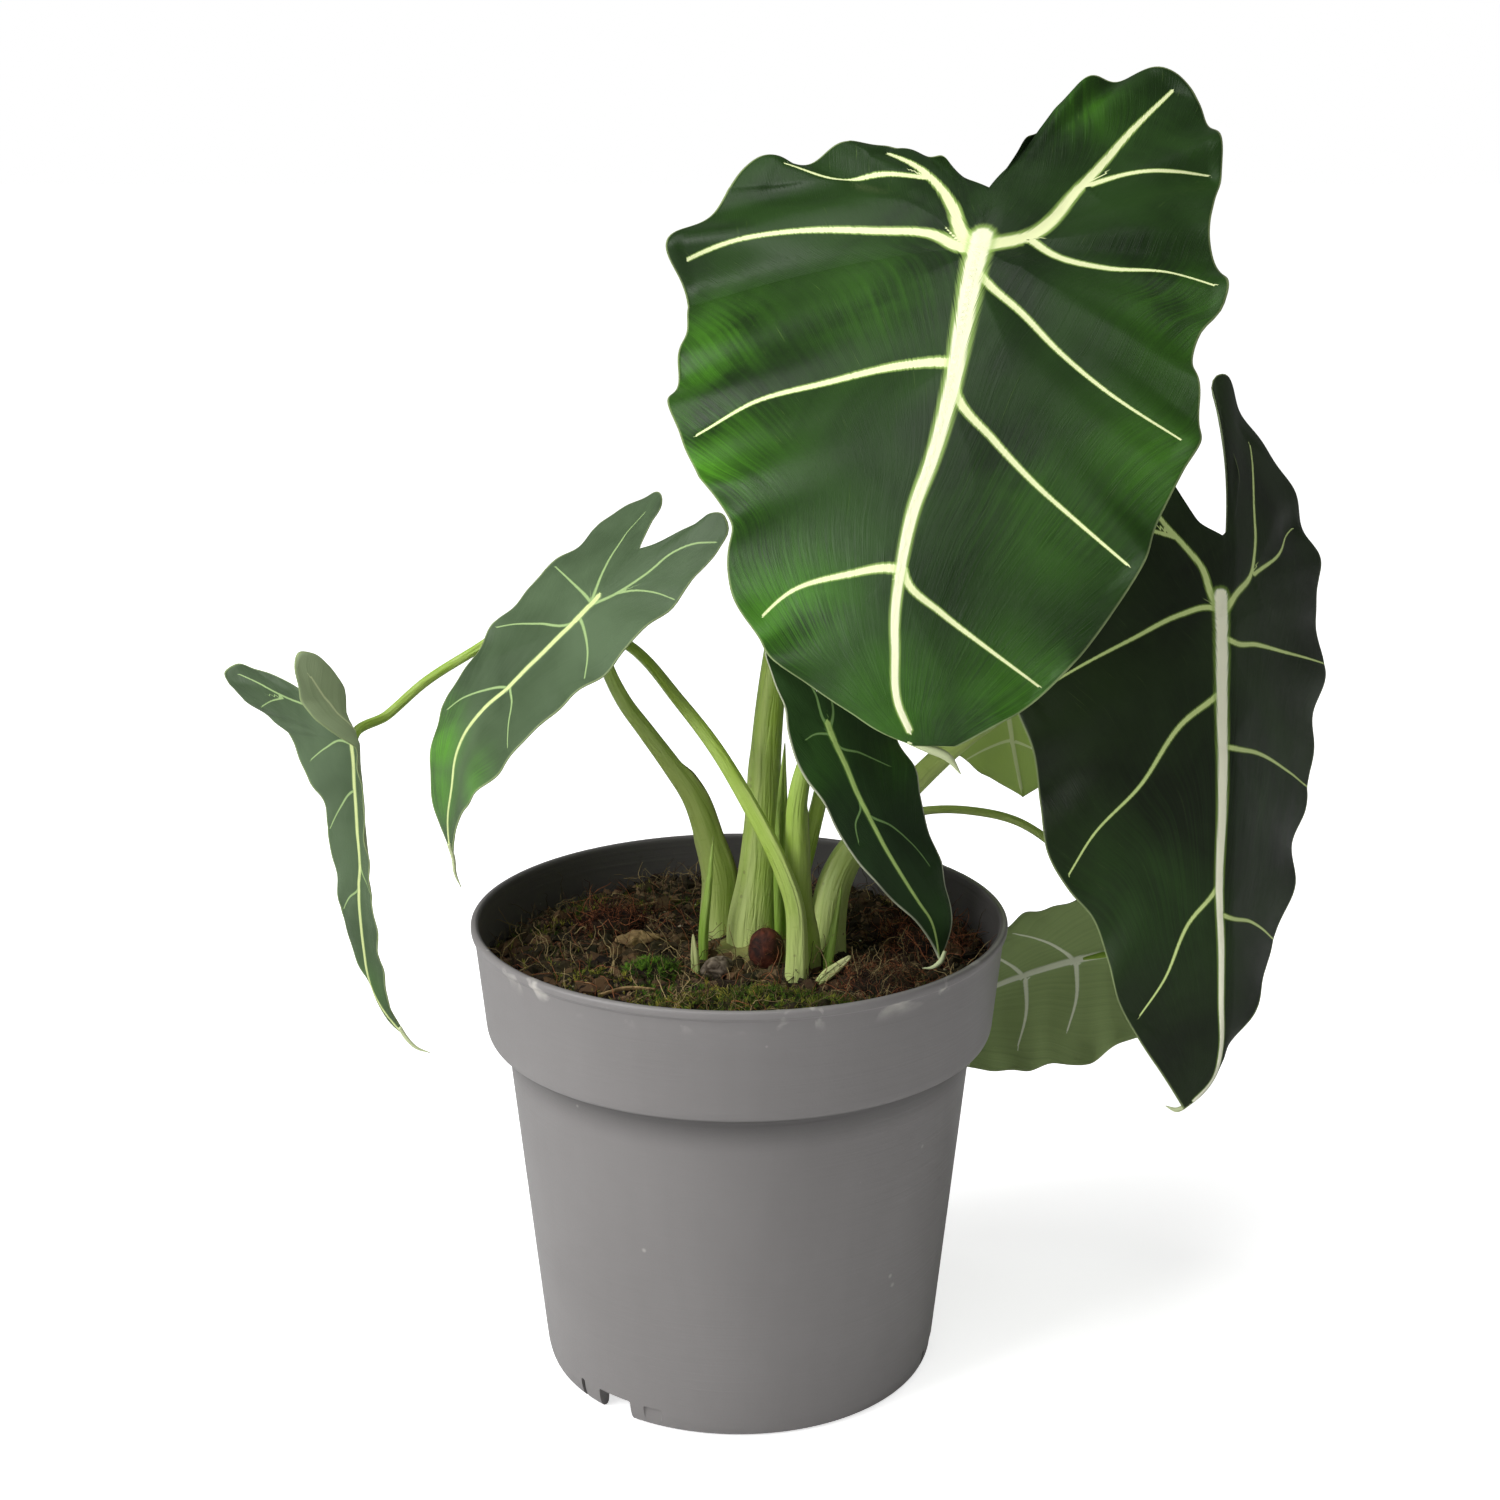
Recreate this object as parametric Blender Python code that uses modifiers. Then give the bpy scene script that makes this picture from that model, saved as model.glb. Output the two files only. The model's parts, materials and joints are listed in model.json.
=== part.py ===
"""Potted alocasia: arrow-shaped leaves on stalks, a corm, loose litter and a nursery pot.

The origin is the centre of the pot's resting face, +Z is up and -Y is the front.
Numbers are in millimetres and are turned into metres when a mesh is made.
"""
import math

import bpy
import numpy as np

MM = 0.001
GAP = 0.3
COLLECTION = "potted_alocasia"

# ---------------------------------------------------------------- driving sizes
RIM_RADIUS = 60.0
POT_HEIGHT = 105.4
COLLAR_HEIGHT = 25.4
COLLAR_FLARE = 3.0
COLLAR_LEDGE = 4.5
WALL_TAPER = 7.5
FOOT_ROUND = 1.6
FOOT_WIDTH = 2.0
CHANNEL_WIDTH = 10.9
CHANNEL_Z = 6.0
WALL = 1.2
FLOOR = 1.4
POT_STEPS = 64
HOLE_RADIUS = 3.0
HOLE_INSET = 5.1
HOLE_COUNT = 6
NOTCH_ANGLES = (-38.0, 82.0, 202.0)
NOTCH_WIDTH = 9.0
NOTCH_HEIGHT = 5.0
SLOT_WIDTH = 1.4
PANEL_WIDTH = 4.4

HEADSPACE = 9.4
SOIL_CLEARANCE = 0.4
CROWN_CENTRE = (7.5, -1.5)
CROWN_RADIUS = 20.5
CROWN_DEPTH = 22.0

BLADE_THICKNESS = 0.9
LOBE_RIBS = 9
RIBS = 11
RIB_SPREAD = 1.7
ACROSS = 4
CREASE = 4.0
STALK_TIP_DROP = 0.95

# Sizes that follow from the ones above.
COLLAR_Z = POT_HEIGHT - COLLAR_HEIGHT
COLLAR_RADIUS = RIM_RADIUS - COLLAR_FLARE
WALL_TOP_RADIUS = COLLAR_RADIUS - COLLAR_LEDGE
WALL_FOOT_RADIUS = WALL_TOP_RADIUS - WALL_TAPER
FOOT_RADIUS = WALL_FOOT_RADIUS - FOOT_ROUND
CHANNEL_OUT = FOOT_RADIUS - FOOT_WIDTH
DISC_RADIUS = CHANNEL_OUT - CHANNEL_WIDTH
HOLE_RING = CHANNEL_OUT - HOLE_INSET
SOIL_Z = POT_HEIGHT - HEADSPACE
GROUND = SOIL_Z + GAP

GREEN_DARK = (0.045, 0.095, 0.030)
GREEN_GREY = (0.075, 0.110, 0.065)
GREEN_STALK = (0.330, 0.440, 0.110)
BROWN_DARK = (0.075, 0.040, 0.022)
PEAT = (0.035, 0.026, 0.018)
MOSS = (0.120, 0.140, 0.035)
STRAW = (0.420, 0.330, 0.160)
POT_GREY = (0.200, 0.190, 0.180)

# Each leaf: where the stalk meets the blade (its height is above the ground), how the blade
# hangs, and its two half outlines as (across, along) from that point, from the cleft on.
LEAVES = {
    "front": dict(
        at=(48.7, -14, 156.1), azimuth=-15, droop=40, roll=0, bend=32, length=109.5, lobe=45,
        lean=(20, 5), fold_l=(0, 12, 12), fold_r=(12, 12, 12), cup=0.0012, rake=(1.35, 2.4),
        cleft=(-0.5, -18), colour=GREEN_DARK,
        midrib=[(0, 0), (0, 21), (-0.3, 38), (-2, 53), (-4.2, 63), (-5.3, 76), (-5, 90), (-3, 102)],
        tip=(0.8, 109.5),
        left=[(-5, -21.5), (-9.5, -26), (-15, -32), (-20, -36), (-28, -37), (-39, -35.5),
              (-50, -35), (-57, -31.5), (-60.5, -25.5), (-64.5, -19), (-69, -14), (-68, -6),
              (-66, 1), (-64.3, 11), (-64.5, 18), (-64, 27), (-60, 38), (-53, 51), (-46.5, 59),
              (-42.3, 67), (-41, 76), (-37, 85), (-31, 92), (-22, 98.5), (-12, 104), (-4, 108)],
        right=[(3, -27), (7, -39), (10, -48), (14, -56), (20, -62), (27, -66.5), (33, -67),
               (38.5, -61), (43, -50), (46, -38), (45, -27), (45, -18), (48.5, -9), (49.5, 3),
               (46, 11), (45.5, 19), (47.5, 29), (48.5, 38), (45.5, 47), (42.5, 57), (40, 68),
               (35, 80), (29.5, 90), (22, 99.5), (13, 106.5), (6, 110)]),
    "right": dict(
        at=(106.1, 8, 75.6), azimuth=9, droop=68, roll=0, bend=16, length=108.5, lobe=42,
        lean=(8, 18), fold_l=(8, 8, 8), fold_r=(44, 44, 44), cup=0.0012, rake=(2.6, 1.33),
        cleft=(2, -18), colour=GREEN_DARK,
        midrib=[(0, 0), (-1.5, 18), (-2.8, 40), (-4.3, 60), (-4.3, 74), (-4.5, 85), (-6, 98)],
        tip=(-13, 108.5),
        left=[(-2.5, -21), (-6, -26), (-10, -35), (-15, -46), (-22, -55), (-30, -58), (-38, -52),
              (-44, -40), (-47, -26), (-49, -10), (-48, 6), (-46, 18), (-43, 28), (-42, 40),
              (-41, 51), (-37, 59), (-32, 65.5), (-29, 75), (-27, 84), (-22.5, 93), (-17.5, 101)],
        right=[(6, -22), (9.5, -28), (10.5, -37), (9.6, -47), (10, -56), (12, -64), (17, -66.5),
               (25.5, -61), (34, -54), (43, -45), (49, -37), (50.5, -25), (48.5, -10), (50, 2),
               (47.5, 14.5), (44.5, 27), (39, 41), (32, 56), (25.5, 69), (17, 79.5), (6.5, 89.5),
               (-2.5, 99), (-8, 105.5)]),
    "centre": dict(
        at=(19.3, -15, 55.5), azimuth=32, droop=58, roll=0, bend=28, length=51.5, lobe=28,
        lean=(5, 5), fold_l=(5, 5, 5), fold_r=(15, 15, 15), cup=0.001, rake=(1.6, 1.3),
        cleft=(0, -9), colour=GREEN_DARK,
        midrib=[(0, 0), (1.2, 7.3), (2.3, 13.8), (4.2, 19.7), (6.9, 26.8), (11.1, 34.2),
                (15.3, 40.2), (18, 46)],
        tip=(17.5, 53.5),
        left=[(-2, -14), (-4.5, -20), (-7.5, -22.5), (-9.3, -19.5), (-9.2, -13.5), (-8.8, -7),
              (-10, -1), (-10.1, 4), (-8.5, 9.7), (-6.3, 15.3), (-3.8, 22.6), (-0.8, 28.8),
              (3.2, 34.5), (8, 39.9), (12.5, 44.7), (15.3, 49)],
        right=[(2.5, -14), (5.5, -20), (9.5, -23), (13.5, -20), (16, -13), (18, -5), (20.5, 4),
               (22.3, 10.5), (21.8, 17), (21, 23.2), (21.3, 29.8), (21.8, 35.4), (22, 41.5),
               (21, 47.5), (19.3, 51)]),
    "left": dict(
        at=(-31.7, -5, 80.5), azimuth=-69, droop=44.5, roll=-21, bend=45, length=65.0, lobe=26,
        lean=(9, -9), fold_l=(15, 5, -8), fold_r=(4, -6, -20), cup=0.002, rake=(1.85, 1.4),
        cleft=(-0.5, -16.3), colour=GREEN_GREY,
        midrib=[(0, 0), (-0.1, 4.7), (-1.1, 11.8), (-2.8, 18.9), (-4.7, 24.8), (-8, 32.4),
                (-9.8, 40.4), (-9, 46), (-7, 54)],
        tip=(-3.5, 66.5),
        left=[(-3.7, -20.6), (-8, -24.9), (-14, -30.2), (-18.5, -28.8), (-22.5, -24.8),
              (-24.3, -19), (-22.8, -12), (-22, -5), (-21.6, 2), (-21.2, 9), (-21.4, 16),
              (-20.8, 23.5), (-20.6, 31), (-20.8, 38), (-20.2, 43.5), (-17.8, 48.5),
              (-15.8, 54), (-13, 58.6), (-9, 61.8)],
        right=[(1.8, -18.4), (4.5, -22.1), (8.1, -27.2), (11.3, -31), (14.2, -32.4),
               (17, -30.6), (18, -26), (17.8, -19), (18.2, -12), (18.4, -5), (18.8, 2),
               (19.4, 9), (17.8, 15.2), (15.4, 21.1), (13.8, 27.8), (12.2, 35.1), (9, 42),
               (3.6, 49.6), (-0.5, 55), (-2.8, 60)]),
    "far_left": dict(
        at=(-86.6, 8, 46.8), azimuth=-22, droop=84, roll=0, bend=8, length=65.5, lobe=17,
        lean=(4, 4), fold_l=(0, 10, 20), fold_r=(-105, -70, -25), cup=0.001, rake=(1.5, 1.4),
        cleft=(-3, -6.5), colour=GREEN_GREY,
        midrib=[(0, 0), (0.9, 11), (1.5, 19.6), (1.9, 31.5), (2.3, 40), (3.2, 48), (5.4, 56.5)],
        tip=(12.5, 68),
        left=[(-10, -9), (-17, -12), (-25, -14), (-31.5, -14.6), (-34, -12.6), (-31.5, -9),
              (-27.5, -5.5), (-23, -2.6), (-19, -0.6), (-17, 2.5), (-15, 6.8), (-12, 10.6),
              (-8.8, 14), (-7.2, 19), (-6.2, 25), (-5, 30), (-4.2, 36), (-3, 42), (-0.6, 48.5),
              (2, 54), (4.8, 59.5), (7.8, 64.8)],
        right=[(-1.5, -9), (1, -13), (6, -17.5), (11, -20), (14.5, -20), (15.5, -17),
               (14, -11), (11.5, -5), (8, 1), (5.6, 6), (5, 11), (6.8, 16), (8, 22), (8, 30),
               (8.3, 37), (8.7, 44), (8.6, 51), (8.2, 58), (9.5, 63.5)]),
    "low_right": dict(
        at=(93, 46, -16.8), azimuth=-110, droop=22, roll=75, bend=22, length=62.0, lobe=27,
        lean=(20, 10), fold_l=(10, 10, 10), fold_r=(20, 20, 20), cup=0.001, rake=(1.4, 1.6),
        cleft=(0, -11), colour=GREEN_GREY,
        midrib=[(0, 0), (0.8, 14), (0.6, 30), (-0.5, 46)],
        tip=(-1, 62),
        left=[(-3, -18), (-7, -26), (-13, -31), (-19, -29), (-23, -22), (-25, -13), (-25.5, -4),
              (-23.5, 4), (-25, 12), (-27, 20), (-24, 28), (-23.5, 36), (-19, 45), (-12, 54),
              (-5, 60)],
        right=[(3, -18), (7, -26), (12, -30), (16, -26), (19, -18), (20.5, -9), (20.5, 0),
               (21, 9), (20, 18), (18, 28), (15.5, 37), (12, 46), (7, 54), (2, 60)]),
    "back": dict(
        at=(61.4, 42, 58.7), azimuth=165, droop=48, roll=0, bend=15, length=54.0, lobe=23,
        lean=(10, 10), fold_l=(8, 8, 8), fold_r=(14, 14, 14), cup=0.001, rake=(1.5, 1.5),
        cleft=(0, -9), colour=GREEN_STALK,
        midrib=[(0, 0), (0, 18), (-0.5, 36)],
        tip=(-2, 54),
        left=[(-3, -15), (-6.5, -22), (-11, -25.5), (-15.5, -22), (-18.5, -14), (-19.5, -5),
              (-20, 4), (-20, 13), (-19, 22), (-17, 31), (-13, 40), (-8, 48)],
        right=[(3, -15), (6.5, -22), (11, -25.5), (15.5, -22), (18.5, -14), (19.5, -5), (20.5, 4),
               (21, 13), (20, 22), (17, 31), (11.5, 40), (5, 48)]),
}

# Each stalk: (x, y, height, radius) from the corm up to the blade, where the end is worked out.
STALKS = {
    "front": [(3, 0.5, 0, 5.5), (3, 0.5, 6.7, 5.2), (4.2, 1.2, 15.7, 4.5), (5.3, 2.5, 29.7, 3.8),
              (6.2, 3, 49.7, 3.3), (8.5, 3, 69.7, 2.9), (14, 2, 94.7, 2.6), (24, 0, 119.7, 2.4),
              (36, -4.5, 140.7, 2.3), (44.5, -9, 150.2, 2.2)],
    "right": [(20.2, -0.8, 0, 3.8), (20.3, -0.7, 5.7, 3.6), (22, 1, 15.7, 3.2), (27, 4, 24.7, 2.9),
              (37, 8, 34.7, 2.7), (50, 12, 46.2, 2.5), (68, 16, 57.7, 2.3), (86, 17, 69.7, 2.1),
              (98, 15.5, 75.7, 1.9)],
    "centre": [(14.4, -10.2, 0, 3.4), (14.3, -10.3, 5.7, 3.2), (13, -11.5, 15.7, 2.8),
               (12.6, -12, 27.7, 2.5), (12.8, -12, 39.7, 2.2), (15, -12, 48.7, 1.8)],
    "left": [(-5, 9, 0, 4.0), (-5, 9, 5.7, 3.8), (-5, 8, 15.7, 3.4), (-7.2, 7, 24.7, 2.9),
             (-10.3, 5, 34.7, 2.5), (-15, 3, 42.7, 2.2), (-20.4, 1, 51, 1.9), (-25.3, -1, 58.7, 1.7),
             (-29, -2.6, 67.7, 1.5)],
    "far_left": [(12.5, -17.6, 0, 2.6), (12.6, -17.7, 6.7, 2.4), (12, -17.2, 16.7, 2.1),
                 (8.7, -16, 26.3, 1.9), (2.6, -12.5, 37.7, 1.8), (-5.4, -8, 50.2, 1.6),
                 (-13, -2, 58.7, 1.4), (-24, 10, 68, 1.2), (-36, 18, 72, 1.1),
                 (-49.8, 22, 70.3, 1.1), (-61, 23, 63.7, 1.1), (-72, 22.5, 56.7, 1.1),
                 (-80, 18.5, 50.2, 1.1)],
    "low_right": [(18.7, 9, 0, 3.0), (19, 9, 6.7, 2.8), (21, 11, 14.7, 2.4), (25.5, 13, 21.7, 2.0),
                  (33, 16, 25.7, 1.4), (43, 20, 27, 1.0), (54, 25, 25.4, 1.0),
                  (66, 29, 21.2, 1.0), (77, 30, 12.7, 1.0), (85, 31, 1.7, 1.0), (90, 36, -9.3, 1.0)],
    "back": [(10.4, 8.6, 0, 2.6), (10.8, 8.7, 6.7, 2.4), (14.2, 9.3, 16.7, 2.0), (17.5, 10.5, 29.7, 1.8),
             (20, 12, 39.7, 1.6), (27, 18, 50.7, 1.4), (39, 27, 57.2, 1.2), (51, 36, 59.7, 1.1)],
}

# Thin upright pieces round the stalks: points as (x, y, z, radius) and a colour.
SLIPS = {
    "young_sheath": ([(9.7, -2.8, 0, 1.1), (9.6, -3.2, 7.7, 1.2), (9.3, -5, 26.7, 1.2),
                      (9.6, -6, 41.7, 0.8), (10, -6.4, 50.7, 0.25)], GREEN_STALK),
    "bract_left": ([(-8, -5.5, 0, 0.9), (-7.9, -6, 6.7, 1.0), (-6.6, -6.2, 18.7, 0.8),
                    (-5.6, -6, 29.2, 0.25)], GREEN_STALK),
    "bract_left_stub": ([(-9.6, -12.2, 0, 0.8), (-9.8, -12.4, 3.7, 0.8),
                         (-10.1, -12.6, 8.7, 0.4)], GREEN_STALK),
    "bract_right": ([(19.4, -14.8, 0, 1.0), (19.6, -14.4, 3.7, 1.1), (21, -11.6, 10.7, 0.9),
                     (22.6, -9.2, 19.2, 0.3)], GREEN_STALK),
    "bract_right_stub": ([(17.6, -20.4, 0.6, 0.5), (19, -19.7, 1.7, 1.0), (21.5, -18.6, 3.3, 1.0),
                          (24.4, -17.2, 5.3, 0.7)], GREEN_STALK),
    "woody_stub": ([(-1.6, -14.4, 3.3, 1.8), (-3.4, -15.4, 2.9, 2.5), (-6.2, -16.9, 2.6, 2.4),
                    (-8.2, -18, 2.3, 1.4)], BROWN_DARK),
}

# The same, lying near the wall: where the middle is, as (angle from the front, distance in from
# the soil's edge), then points as (x, y, height, radius) from there.
STRAWS = {
    "straw_left": ((-42.17, 21.02), [(-6, -3, 0.9, 0.5), (0, 0, 0.8, 0.5), (6, 0.5, 0.9, 0.4)]),
    "straw_back": ((-146.77, 22.1), [(-8, -3, 0.7, 0.4), (0, 0, 1.1, 0.45), (7, 4, 0.7, 0.35)]),
}

# Rounded lumps resting on the soil: centre, height of the centre, half sizes, turn about Z and
# a colour. The second table gives the centre as STRAWS does.
LUMPS = {
    "cormel": ((6.0, -9.9), 4.5, (3.9, 3.9, 4.8), 0.0, BROWN_DARK),
    "bark_chip": ((-23.5, 6.0), 2.3, (4.6, 2.8, 2.0), 25.0, STRAW),
    "moss_left": ((-19.0, -14.0), 1.1, (6.5, 4.5, 2.8), 15.0, MOSS),
    "fibre_back": ((-29.0, 17.0), 1.1, (7.0, 5.5, 3.4), 30.0, BROWN_DARK),
}
WALL_LUMPS = {
    "moss_front": ((6.91, 23.53), 0.6, (22.0, 8.0, 2.6), 4.0, MOSS),
    "fibre_right": ((97.94, 13.36), 1.3, (8.5, 10.0, 4.0), 10.0, BROWN_DARK),
    "fibre_front": ((54.64, 18.76), 1.3, (8.0, 6.0, 3.6), -20.0, BROWN_DARK),
}


def reset_scene():
    """Start from an empty file and return the visible and the cutter collections."""
    for obj in list(bpy.data.objects):
        bpy.data.objects.remove(obj)
    visible = bpy.data.collections.new(COLLECTION)
    cutters = bpy.data.collections.new("cutters")
    bpy.context.scene.collection.children.link(visible)
    bpy.context.scene.collection.children.link(cutters)
    return visible, cutters


def make_material(name, colour, roughness):
    """A plain Principled material for one piece."""
    material = bpy.data.materials.new(name)
    material.use_nodes = True
    shader = material.node_tree.nodes["Principled BSDF"]
    shader.inputs["Base Color"].default_value = (*colour, 1.0)
    shader.inputs["Roughness"].default_value = roughness
    shader.inputs["Metallic"].default_value = 0.0
    return material


def link_piece(obj, collection, colour, roughness=0.55):
    """Put a finished piece in the collection with its own material."""
    collection.objects.link(obj)
    obj.data.materials.clear()
    obj.data.materials.append(make_material(obj.name, colour, roughness))
    return obj


def as_cutter(obj, cutters):
    """Keep a cutter out of the picture."""
    cutters.objects.link(obj)
    obj.hide_render = True
    obj.display_type = "WIRE"
    return obj


def mesh_object(name, points, faces):
    """A mesh from millimetre points."""
    mesh = bpy.data.meshes.new(name)
    mesh.from_pydata([tuple(c * MM for c in p) for p in points], [], faces)
    mesh.update()
    return bpy.data.objects.new(name, mesh)


def add_screw(obj, steps):
    """Turn a profile about Z into a closed solid."""
    screw = obj.modifiers.new("turn", "SCREW")
    screw.steps = steps
    screw.render_steps = steps
    screw.use_merge_vertices = True
    screw.merge_threshold = 0.00005
    screw.use_smooth_shade = False
    return obj


def revolve(name, profile, steps, centre=(0.0, 0.0)):
    """A turned solid: the profile runs down the outer side, from the axis back to the axis."""
    edges = [(i, i + 1) for i in range(len(profile) - 1)]
    mesh = bpy.data.meshes.new(name)
    mesh.from_pydata([(r * MM, 0.0, z * MM) for r, z in profile], edges, [])
    obj = add_screw(bpy.data.objects.new(name, mesh), steps)
    obj.location = (centre[0] * MM, centre[1] * MM, 0.0)
    return obj


def cylinder_cutter(name, x, y, radius, low, high, steps=16):
    """An upright round cutter."""
    profile = [(0.0, high), (radius, high), (radius, low), (0.0, low)]
    return revolve(name, profile, steps, (x, y))


def box_cutter(name, angle, radius, size, centre_z):
    """A box of (radial, tangential, height) size on a ring, at an angle from the front."""
    half = [s / 2 for s in size]
    corners = [(x, y, z) for z in (-half[2], half[2]) for y in (-half[1], half[1])
               for x in (-half[0], half[0])]
    faces = [(0, 2, 3, 1), (4, 5, 7, 6), (0, 1, 5, 4), (2, 6, 7, 3), (0, 4, 6, 2), (1, 3, 7, 5)]
    obj = mesh_object(name, corners, faces)
    turn = math.radians(angle - 90.0)
    obj.rotation_euler = (0.0, 0.0, turn)
    obj.location = (radius * math.cos(turn) * MM, radius * math.sin(turn) * MM, centre_z * MM)
    return obj


def subtract(obj, cutter):
    """Cut one solid out of another."""
    cut = obj.modifiers.new("cut_" + cutter.name, "BOOLEAN")
    cut.operation = "DIFFERENCE"
    cut.solver = "EXACT"
    cut.object = cutter


def inside_profile():
    """Pot section from the middle of the inner floor, out and up the inside to the lip."""
    return [(0.0, FLOOR), (DISC_RADIUS + 0.5 - WALL, FLOOR),
            (DISC_RADIUS + 2.0 - WALL, CHANNEL_Z + FLOOR),
            (CHANNEL_OUT + 0.2 + WALL, CHANNEL_Z + FLOOR),
            (WALL_FOOT_RADIUS + 0.8 - WALL, CHANNEL_Z + FLOOR + 1.6),
            (WALL_TOP_RADIUS - WALL, COLLAR_Z - 0.8), (COLLAR_RADIUS - 1.0 - WALL, COLLAR_Z + 0.7),
            (COLLAR_RADIUS - WALL, COLLAR_Z + 2.0), (RIM_RADIUS - 0.7 - WALL, POT_HEIGHT - 0.6)]


def pot_profile():
    """Pot section from the inner floor, up the inside, over the lip and down the outside."""
    lip = [(RIM_RADIUS - 0.3 - WALL, POT_HEIGHT), (RIM_RADIUS - 0.4, POT_HEIGHT),
           (RIM_RADIUS, POT_HEIGHT - 0.5), (RIM_RADIUS - 0.1, POT_HEIGHT - 1.8),
           (RIM_RADIUS - 0.8, POT_HEIGHT - 2.2)]
    outside = [(COLLAR_RADIUS, COLLAR_Z + 1.3), (COLLAR_RADIUS - 0.5, COLLAR_Z + 0.1),
               (COLLAR_RADIUS - 1.6, COLLAR_Z - 0.5), (WALL_TOP_RADIUS, COLLAR_Z - 1.6),
               (WALL_FOOT_RADIUS + 0.4, CHANNEL_Z + 2.0), (WALL_FOOT_RADIUS - 0.1, 3.2),
               (FOOT_RADIUS + 0.9, 0.9), (FOOT_RADIUS, 0.0)]
    below = [(CHANNEL_OUT + 0.5, 0.0), (CHANNEL_OUT, CHANNEL_Z), (DISC_RADIUS + 1.5, CHANNEL_Z),
             (DISC_RADIUS, 0.0), (0.0, 0.0)]
    return inside_profile() + lip + outside + below


def soil_profile():
    """The space inside the pot up to the soil line, drawn in by the clearance."""
    line = [(max(r - SOIL_CLEARANCE, 0.0), z + SOIL_CLEARANCE) for r, z in inside_profile()]
    edge = float(np.interp(SOIL_Z, [z for r, z in line[3:]], [r for r, z in line[3:]]))
    return [(0.0, SOIL_Z), (edge, SOIL_Z)] + [(r, z) for r, z in reversed(line) if z < SOIL_Z]


def by_wall(angle, inset):
    """The point at an angle from the front and a distance in from the edge of the soil."""
    reach = soil_profile()[1][0] - inset
    turn = math.radians(angle)
    return reach * math.sin(turn), -reach * math.cos(turn)


def build_pot(visible, cutters):
    """The pot shell with its drain holes and the notches in its foot."""
    pot = revolve("nursery_pot", pot_profile(), POT_STEPS)
    for i in range(HOLE_COUNT):
        turn = math.radians(360.0 * (i + 0.5) / HOLE_COUNT)
        hole = cylinder_cutter(f"drain_{i}", HOLE_RING * math.cos(turn), HOLE_RING * math.sin(turn),
                               HOLE_RADIUS, CHANNEL_Z - 2.0, CHANNEL_Z + 4.0)
        subtract(pot, as_cutter(hole, cutters))
    for i, angle in enumerate(NOTCH_ANGLES):
        notch = box_cutter(f"notch_{i}", angle, FOOT_RADIUS, (5.0, NOTCH_WIDTH, 2 * NOTCH_HEIGHT), 0.0)
        slot = box_cutter(f"slot_{i}", angle - 13.0, FOOT_RADIUS,
                          (5.0, SLOT_WIDTH, 2 * NOTCH_HEIGHT), 0.0)
        panel = box_cutter(f"panel_{i}", angle + 13.0, WALL_FOOT_RADIUS + 0.9,
                           (3.0, PANEL_WIDTH, 2 * NOTCH_HEIGHT), 0.0)
        for cutter in (notch, slot, panel):
            subtract(pot, as_cutter(cutter, cutters))
    return link_piece(pot, visible, POT_GREY, 0.5)


def crown_profile(grow):
    """Corm section, grown by a clearance when it is used to make its own pocket."""
    top = SOIL_Z + (4.0 if grow else 0.0)
    radius = CROWN_RADIUS + grow
    low = SOIL_Z - CROWN_DEPTH - grow
    return [(0.0, top), (radius, top), (radius, SOIL_Z - 6.0), (radius * 0.86, SOIL_Z - 14.0),
            (radius * 0.55, low + 2.5), (0.0, low)]


def build_soil(visible, cutters):
    """The filled soil with a pocket for the corm, and the corm in it."""
    soil = revolve("potting_soil", soil_profile(), POT_STEPS)
    pocket = revolve("crown_pocket", crown_profile(GAP), 40, CROWN_CENTRE)
    subtract(soil, as_cutter(pocket, cutters))
    link_piece(soil, visible, PEAT, 0.95)
    crown = revolve("crown", crown_profile(0.0), 40, CROWN_CENTRE)
    link_piece(crown, visible, BROWN_DARK, 0.8)


def smooth_line(points, count):
    """Resample a line of points evenly along a smooth curve through them."""
    pts = np.array(points, float)
    step = np.linalg.norm(np.diff(pts, axis=0), axis=1)
    knots = np.concatenate([[0.0], np.cumsum(step)])
    slope = np.gradient(pts, knots, axis=0)
    where = np.linspace(0.0, knots[-1], count)
    seg = np.clip(np.searchsorted(knots, where, side="right") - 1, 0, len(pts) - 2)
    span = (knots[seg + 1] - knots[seg])[:, None]
    t = ((where - knots[seg]) / span[:, 0])[:, None]
    a = (1 + 2 * t) * (1 - t) ** 2 * pts[seg] + t * (1 - t) ** 2 * span * slope[seg]
    b = t * t * (3 - 2 * t) * pts[seg + 1] + t * t * (t - 1) * span * slope[seg + 1]
    return a + b


def spin(vector, axis, angle):
    """Rotate a vector about a unit axis."""
    cos, sin = math.cos(angle), math.sin(angle)
    return vector * cos + np.cross(axis, vector) * sin + axis * np.dot(axis, vector) * (1 - cos)


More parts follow.
